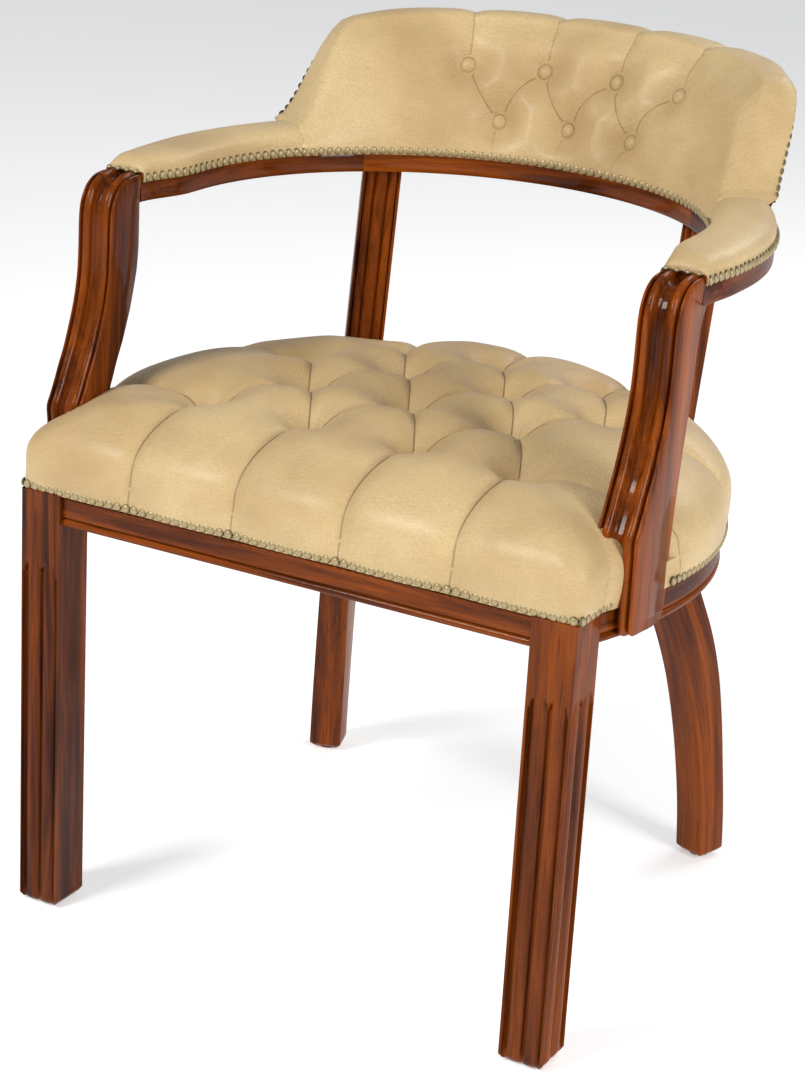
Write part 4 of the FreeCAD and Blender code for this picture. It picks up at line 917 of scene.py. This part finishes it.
AROUND, OUT, TOP_RINGS = 960, 182, 158
right = seat_line(0.006, 0.022)
outline = even(np.vstack([right, (right * np.array([-1, 1]))[-2:0:-1]]), AROUND, True)
edge_line = seat_line(0.0019, 0.004)
edge_full = np.vstack([edge_line, (edge_line * np.array([-1, 1]))[-2:0:-1]])
nail_angle = np.arctan2(edge_full[:, 1] - POLE[1], edge_full[:, 0] - POLE[0])
want_angle = np.arctan2(outline[:, 1] - POLE[1], outline[:, 0] - POLE[0])
order = np.argsort(nail_angle)
edge_reach = np.linalg.norm(edge_full - POLE, axis=1)[order]
nail_reach = np.interp(want_angle, nail_angle[order], edge_reach, period=2 * np.pi)
way = (outline - POLE) / np.linalg.norm(outline - POLE, axis=1, keepdims=True)
full_reach = np.linalg.norm(outline - POLE, axis=1)

bend = np.linspace(0, np.pi / 2, 600)
roll = np.stack([np.sin(bend) ** (2 / 2.9), np.cos(bend) ** (2 / 2.35)], 1)
true_size = np.array([0.29, 0.065])
shape = even(roll * true_size, TOP_RINGS) / true_size
WIDEST, CROWN = RAIL_TOP + 0.004, RAIL_TOP + 0.0785
tuck = np.linspace(0, 1, OUT - TOP_RINGS + 1)[1:]
reach_top = full_reach[:, None] * shape[None, :, 0]
reach_low = full_reach[:, None] + (nail_reach - full_reach)[:, None] * (tuck**2)[None, :]
lift_top = WIDEST + (CROWN - WIDEST) * shape[:, 1]
lift_low = WIDEST + (NAIL_Z - HEM - WIDEST) * tuck
reach_all = np.concatenate([reach_top, reach_low], 1).T
lift_all = np.broadcast_to(np.r_[lift_top, lift_low][:, None], reach_all.shape)
seat = np.concatenate([POLE + way[None] * reach_all[..., None], lift_all[..., None]], 2)
slope = 0.006 * (seat[..., 1] - POLE[1]) / 0.25
seat[..., 2] += slope * ease((seat[..., 2] - WIDEST) / 0.06)
depth, fold, seam = (part.reshape(OUT - 1, AROUND) for part in
                     buttoned(seat[1:, :, :2].reshape(-1, 2), seat_buttons, seat_folds, 0.035, 0.05))
depth = depth * (0.2 + 0.8 * ease((seat[1:, :, 2] - NAIL_Z) / 0.03))
outwards = normals(seat, True)[1:]
if outwards[40, 100, 2] < 0:
    outwards = -outwards
seat[1:] -= outwards * depth[..., None]
# Beside the arm posts the leather stays inside their outer faces.
limit = POST_OUT - 0.004 + 0.03 * ease((seat[..., 1] - FRONT - 0.1335) / 0.06) ** 0.6
beside = seat[..., 1] > FRONT + 0.05
seat[..., 0] = np.where(beside, np.clip(seat[..., 0], -limit, limit), seat[..., 0])
seat[0] = seat[1].mean(0)
rim = np.concatenate([POLE + way * (nail_reach - 0.0013)[:, None], np.full((AROUND, 1), NAIL_Z - HEM)], 1)
rim_up = rim.copy()
rim_up[:, 2] = RAIL_TOP + 0.0006
under = np.concatenate([POLE + way * (nail_reach * 0.9)[:, None], np.full((AROUND, 1), RAIL_TOP + 0.0047)],
                       1)
seat_grid = np.concatenate([seat[1:], rim[None], rim_up[None], under[None]], 0)
# The fold and seam marks place the painted shade along the folds and round the buttons; the rim gets none.
marks = {label: np.concatenate([m, np.full((3, AROUND), v)], 0).ravel()
         for label, m, v in (("fold", fold, 0), ("seam", seam, FAR))}
seat_item = solid("seat_cushion", seat_grid, hide, None, marks, 60)
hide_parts("seat_foam", "seat_cover")
print("seat", seat_grid.shape)

# %% [markdown]
# ## Arm pads
# A pad is a soft half-round on the flat of the arm. Its leather is nailed along both edges and across
# the front. Towards the back it climbs to meet the end of the back, and the two meet in a seam.


# %% Arm pads
def arm_pad():
    """Rings of the pad's section, from under the end of the back to the arm post."""
    count = 190
    turn, inner, outer = arm_line(BACK_END - 0.2, ARM_END - 0.6, count)
    share = (turn - turn[0]) / (turn[-1] - turn[0])
    middle, span = (inner + outer) / 2, (outer - inner) / 2
    t = np.linspace(0, np.pi, 44)
    nose = np.sqrt(np.clip(1 - ((share - 0.93) / 0.072).clip(0, 1) ** 2, 0.02, 1))
    tail = 1 - 0.12 * (1 - ease(share / 0.012))
    crown = np.interp(share, [0, 0.12, 0.5, 0.9, 1], [0.0195, 0.0185, 0.0165, 0.0145, 0.0135]) * nose * tail
    bulge = 1 + 0.06 * np.sin(np.pi * np.clip(share * 1.02, 0, 1)) * nose
    side = np.cos(t)
    across = np.sign(side) * np.abs(side) ** 0.72
    up = np.sin(t) ** 0.8
    low = -0.0085
    swollen = across * (1 + (bulge[:, None] - 1) * np.sin(t) ** 0.5)
    top = middle[:, None, :] - span[:, None, :] * swollen[..., None]
    lift = crown[:, None] * up[None, :]
    pad = np.concatenate([top, (BOW_TOP + lift)[..., None]], 2)
    unit = span / np.linalg.norm(span, axis=1, keepdims=True)
    hem = ((0.0018, -0.003), (0.0014, -0.0062), (0.0003, low), (-0.0012, low + 0.001), (-0.0012, 0.0004))
    flaps = []
    for sign, line, turned in ((1, outer, hem), (-1, inner, hem[::-1])):
        spots = [np.concatenate([line + sign * unit * off, np.full((count, 1), BOW_TOP + z)], 1)
                 for off, z in turned]
        flaps.append(np.stack(spots, 1))
    return np.concatenate([pad, *flaps], 1)


pad_rings = arm_pad()
pad_nodes = ["arm_pad_foam", "arm_pad_cover"]
for item in both_sides("arm_pad", pad_rings, pad_nodes, hide, None, 60):
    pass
print("arm pads", pad_rings.shape)

# %% [markdown]
# ## Outside of the back
# A thin padded panel of the same leather covers the board behind, inside a rim of bare wood.

# %% Outside panel
PANEL_END, PANEL_RIM = 46, 0.013
turn = np.linspace(-PANEL_END, PANEL_END, 140)
high = back_top(turn) * BOARD_SHARE
share = np.linspace(0, 1, 30)
low_edge, high_edge = PANEL_RIM, high - PANEL_RIM
up = low_edge + (high_edge - low_edge)[:, None] * share
edge_gap = np.minimum(up - low_edge, high_edge[:, None] - up)
edge_gap = np.minimum(edge_gap, (PANEL_END - np.abs(turn))[:, None] * 0.0055)
puff = 0.0012 + 0.0038 * (1 - np.exp(-np.clip(edge_gap, 0, 1) / 0.007))
slant = BOARD_OUT + lean(turn)[:, None] * up
outer_skin = spot_at(turn[:, None], slant + puff, up)
inner_skin = spot_at(turn[:, None], slant + 0.0002, up)
panel_rings = np.concatenate([outer_skin, inner_skin[:, ::-1]], 1)
no_fold = {"fold": np.zeros(panel_rings.shape[:2]).ravel()}
panel = solid("outside_back_panel", panel_rings, hide, None, no_fold, 60)
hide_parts("outside_back_panel")
print("panel", panel_rings.shape)

# %% [markdown]
# ## Nails and buttons
# A nail head is a low dome of a few dozen faces. A row of them is one mesh: the same dome, turned and
# moved to each place. Buttons are covered in leather, rounder and larger.


# %% Domes in rows
def dome(radius, height, rings, sides, lip):
    """Points and faces of a dome that stands on z = 0: rings from the rim to the tip."""
    t = np.linspace(0, np.pi / 2, rings + 1)[:-1]
    turn = np.arange(sides) * 2 * np.pi / sides
    level, up = np.cos(t)[:, None], np.broadcast_to(np.sin(t)[:, None], (rings, sides))
    ring = np.stack([level * np.cos(turn), level * np.sin(turn), up],
                    -1) * np.array([radius, radius, height])
    base = ring[:1] * np.array([1, 1, 0]) + np.array([0, 0, -lip])
    points = np.vstack([base.reshape(-1, 3), ring.reshape(-1, 3), [[0, 0, height]]])
    quads = join_grid(rings + 1, sides, True)
    tip = len(points) - 1
    first = rings * sides + np.arange(sides)
    caps = np.stack([first, rings * sides + (np.arange(sides) + 1) % sides, np.full(sides, tip)], 1)
    return points, quads.tolist(), caps.tolist()


def in_rows(name, spots, ways, radius, height, material,
            rings=3, sides=10, lip=0.0008, wobble=0.0, sizes=1.0):
    """One mesh of domes at spots, each facing its way; wobble tips them a little, sizes scales each."""
    points, quads, caps = dome(radius, height, rings, sides, lip)
    chance = np.random.default_rng(len(spots))
    ways = ways + chance.normal(0, wobble, ways.shape)
    ways = ways / np.linalg.norm(ways, axis=1, keepdims=True)
    helper = np.where(np.abs(ways[:, 2:]) < 0.9, np.array([[0, 0, 1.0]]), np.array([[1.0, 0, 0]]))
    a = np.cross(helper, ways)
    a /= np.linalg.norm(a, axis=1, keepdims=True)
    b = np.cross(ways, a)
    uneven = 1 + chance.normal(0, wobble * 0.4, (len(spots), 1, 1))
    grown = np.broadcast_to(sizes, len(spots))[:, None, None] * uneven
    x, y, z = (points[None, :, k : k + 1] for k in range(3))
    placed = spots[:, None, :] + grown * (x * a[:, None] + y * b[:, None] + z * ways[:, None])
    step = (np.arange(len(spots)) * len(points))[:, None, None]
    faces = (step + np.array(quads)[None]).reshape(-1, 4)
    tips = (step + np.array(caps)[None]).reshape(-1, 3)
    rub = np.tile(np.clip(points[:, 2] / height, 0, 1), len(spots))
    marks = {"rub": rub, "fold": 0 * rub}
    return piece(name, placed.reshape(-1, 3), faces, material, None, tips, marks, 70)


def spaced(line, pitch):
    """Points about a pitch apart along a line (n, d), half a step in from its ends, and the way along."""
    run = np.r_[0, np.cumsum(np.linalg.norm(np.diff(line, axis=0), axis=1))]
    count = max(int(round(run[-1] / pitch)), 1)
    at = (np.arange(count) + 0.5) * run[-1] / count
    behind, spots, ahead = (np.stack([np.interp(at + step, run, line[:, k]) for k in range(line.shape[1])],
                                     1)
                            for step in (-1e-4, 0, 1e-4))
    way = ahead - behind
    return spots, way / np.linalg.norm(way, axis=1, keepdims=True)


def two_sided(spots, ways):
    """The same spots and ways, with their mirror images after them."""
    flip = np.array([-1, 1, 1])
    return np.vstack([spots, spots * flip]), np.vstack([ways, ways * flip])


# A nail's radius and height, the seat nails' height, the pitch, the stretch that the arm posts cover,
# the place of the row across each pad, and the rows' place on the outside panel.
NAIL, NAIL_UP, SEAT_NAIL_UP, PITCH = 0.0044, 0.0025, 0.0026, 0.0090
COVER_FROM, COVER_TO, PAD_ROW, NAIL_PROUD, PANEL_ROW = 0.0545, 0.1365, 0.1495, 0.0016, 0.0155
line = seat_line(0.0021, 0.002)
spots, ways = spaced(line, PITCH)
behind_face = spots[:, 1] - FRONT
covered = (spots[:, 0] > POST_IN - 0.004) & (behind_face > COVER_FROM) & (behind_face < COVER_TO)
spots, ways = spots[~covered], ways[~covered]
level = np.concatenate([spots, np.full((len(spots), 1), NAIL_Z)], 1)
face = np.concatenate([np.stack([ways[:, 1], -ways[:, 0]], 1), np.zeros((len(ways), 1))], 1)
spots, ways = two_sided(level, face)
seat_nails = in_rows("seat_nails", spots, ways, NAIL, SEAT_NAIL_UP, old_brass, wobble=0.05)
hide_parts("seat_nails")

_, inner, outer = arm_line(0, ARM_END - 0.8, 900)
rows = []
for line, sign in ((inner, -1), (outer[int(900 * BACK_END / ARM_END):], 1)):
    spots, ways = spaced(line, PITCH)
    square = np.stack([ways[:, 1], -ways[:, 0]], 1)
    square *= sign * np.sign((square * (spots - np.array([0, BOW_Y - 0.05]))).sum(1, keepdims=True))
    column = np.ones((len(spots), 1))
    on_edge = np.concatenate([spots + square * 0.0012, column * (BOW_TOP - 0.0046)], 1)
    rows.append((on_edge, np.concatenate([square, 0 * column], 1)))
x = POST_IN + (np.arange(4) + 0.5) * (POST_OUT - POST_IN) / 4
front_row = np.stack([x, np.full(4, FRONT + PAD_ROW), np.full(4, BOW_TOP + 0.0022)], 1)
rows.append((front_row, np.tile(np.array([[0, -0.55, 0.83]]), (4, 1))))
spots, ways = two_sided(*(np.vstack(part) for part in zip(*rows)))
small = np.where(np.abs(spots[:, 1] - FRONT - PAD_ROW) < 1e-6, 0.6, 1.0)
arm_nails = in_rows("arm_nails", spots, ways, NAIL, NAIL_UP, old_brass,
                    wobble=0.05, sizes=small)
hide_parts("arm_nails")


def on_board(turn, up):
    """Places on the outside of the board, a little proud of it, at an angle and a height."""
    return spot_at(turn, BOARD_OUT + lean(turn) * up + NAIL_PROUD, up)


turn = np.linspace(0, 59.3, 400)
crest_line = on_board(turn, back_top(turn) * 0.855)
panel_turn = np.linspace(0, 45.6, 300)
panel_high = back_top(panel_turn) * BOARD_SHARE
panel_top = on_board(panel_turn, panel_high - PANEL_ROW)
panel_low = on_board(panel_turn, np.full(300, PANEL_ROW))
panel_end = on_board(np.full(60, 45.2), np.linspace(PANEL_ROW, panel_high[-1] - PANEL_ROW, 60))
rows = []
for line in (crest_line, panel_top, panel_low, panel_end):
    spots, _ = spaced(line, PITCH)
    flat_way = spots[:, :2] - np.array([0, BOW_Y])
    flat_way /= np.linalg.norm(flat_way, axis=1, keepdims=True)
    rows.append((spots, np.concatenate([flat_way, np.full((len(spots), 1), -LEAN)], 1)))
spots, ways = two_sided(*(np.vstack(part) for part in zip(*rows)))
back_nails = in_rows("outside_back_nails", spots, ways, NAIL, NAIL_UP, old_brass,
                     wobble=0.05)
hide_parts("outside_back_nails")
print("nails", len(level) * 2, "and", len(spots))

# %% Covered buttons
BUTTON = 0.0078
seat_height, button_z = seat[..., 2], []
for x, y in seat_buttons:
    near = np.linalg.norm(seat[..., :2] - np.array([x, y]), axis=2)
    under_it = near < 0.009
    button_z.append(seat_height[under_it].mean() if under_it.any() else seat_height.ravel()[near.argmin()])
seat_at = np.concatenate([np.array(seat_buttons), np.array(button_z)[:, None]], 1)
up = np.tile(np.array([[0, 0, 1.0]]), (len(seat_at), 1))
seat_caps = in_rows("seat_buttons", seat_at, up, BUTTON, 0.0048, hide, 8, 28, 0.003)
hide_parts("seat_buttons")
back_at, back_way = [], []
for a, z in back_high + back_low:
    share = (a / UNROLL + BACK_END + PAST_END) / (2 * (BACK_END + PAST_END))
    column = int(round(share * (BACK_ACROSS - 1)))
    rowat = int(np.abs(section[column, :80, 1] - z).argmin())
    t = math.radians(a / UNROLL)
    back_at.append(skin[column, rowat])
    back_way.append((-math.sin(t), -math.cos(t), FACE_LEAN))
back_at, back_way = np.array(back_at), np.array(back_way)
back_caps = in_rows("back_buttons", back_at, back_way, BUTTON, 0.0050, hide, 8, 28, 0.004)
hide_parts("back_buttons")
print("buttons", len(seat_at), len(back_at))

# %% [markdown]
# ## Inside parts
# Blocks, dowels, screws, webbing, glides and the dust cover keep the joiner's own shapes. They get
# their finishes here, so that nothing is left plain.

# %% Finishes on the joiner's parts
WORDS = {"webbing": "webbing", "dust": "lining", "glide": "glide", "screw": "steel", "dowel": "beech",
         "block": "beech"}
for name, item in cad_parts.items():
    kind = next((finish for word, finish in WORDS.items() if word in name), "mahogany")
    if item.hide_render:
        continue
    item.data.materials.clear()
    item.data.materials.append(INSIDE[kind])
    print(name, kind)

# %% [markdown]
# ## Floor, light and camera
# A pale floor, a soft light high in front on the left, a fill on the right and one behind. The camera
# stands about two and a half metres off, above the chair, and looks down at it with a long lens.

# %% Stage
floor = Look("floor_paint", Roughness=0.6, Emission_Color=(1, 1, 1, 1), Emission_Strength=0.4)
cloudy = floor.noise(floor.where(), 3.0, 4.0)
floor.give("Base Color", floor.mix(cloudy, colour(243, 242, 240), colour(248, 247, 246)))
bpy.ops.mesh.primitive_plane_add(size=60, location=(0, 0, 0))
ground = bpy.context.object
ground.name = "floor"
ground.data.materials.append(floor.material)


def softbox(name, at, aim, size, power):
    """An area light at a place, pointing at a place."""
    data = bpy.data.lights.new(name, "AREA")
    data.shape, data.size, data.size_y, data.energy = "RECTANGLE", size[0], size[1], power
    lamp = bpy.data.objects.new(name, data)
    bpy.context.scene.collection.objects.link(lamp)
    lamp.location = at
    lamp.rotation_euler = (Vector(aim) - Vector(at)).to_track_quat("-Z", "Y").to_euler()


softbox("key", (-1.2, -2.6, 2.8), (0, 0, 0.5), (1.1, 1.1), 96)
softbox("fill", (3.0, -0.9, 1.7), (0, 0, 0.5), (0.9, 1.6), 62)
softbox("rear", (0.8, 2.6, 2.6), (0, 0, 0.5), (1.8, 1.0), 34)
world = bpy.data.worlds.new("room")
bpy.context.scene.world = world
world.use_nodes = True
world.node_tree.nodes["Background"].inputs["Color"].default_value = (0.93, 0.96, 1.0, 1)
world.node_tree.nodes["Background"].inputs["Strength"].default_value = 0.3
bpy.context.scene.view_settings.view_transform = "Standard"

# %% Camera
AZIMUTH, ELEVATION, ROLL = (math.radians(v) for v in (28.22, 20.0, 3.35))
FOCAL, SENSOR = 87.3, 36
level = math.cos(ELEVATION)
back = Vector((math.sin(AZIMUTH) * level, -math.cos(AZIMUTH) * level, math.sin(ELEVATION)))
right = (-back).cross(Vector((0, 0, 1))).normalized()
upright = back.cross(right)
tilted_right = math.cos(ROLL) * right + math.sin(ROLL) * upright
tilted_up = -math.sin(ROLL) * right + math.cos(ROLL) * upright
lens = bpy.data.cameras.new("camera")
lens.lens, lens.sensor_width = FOCAL, SENSOR
camera = bpy.data.objects.new("camera", lens)
bpy.context.scene.collection.objects.link(camera)
camera.matrix_world = Matrix((tilted_right, tilted_up, back)).transposed().to_4x4()
camera.location = (1.083, -1.806 + FRONT, 1.201)
bpy.context.scene.camera = camera
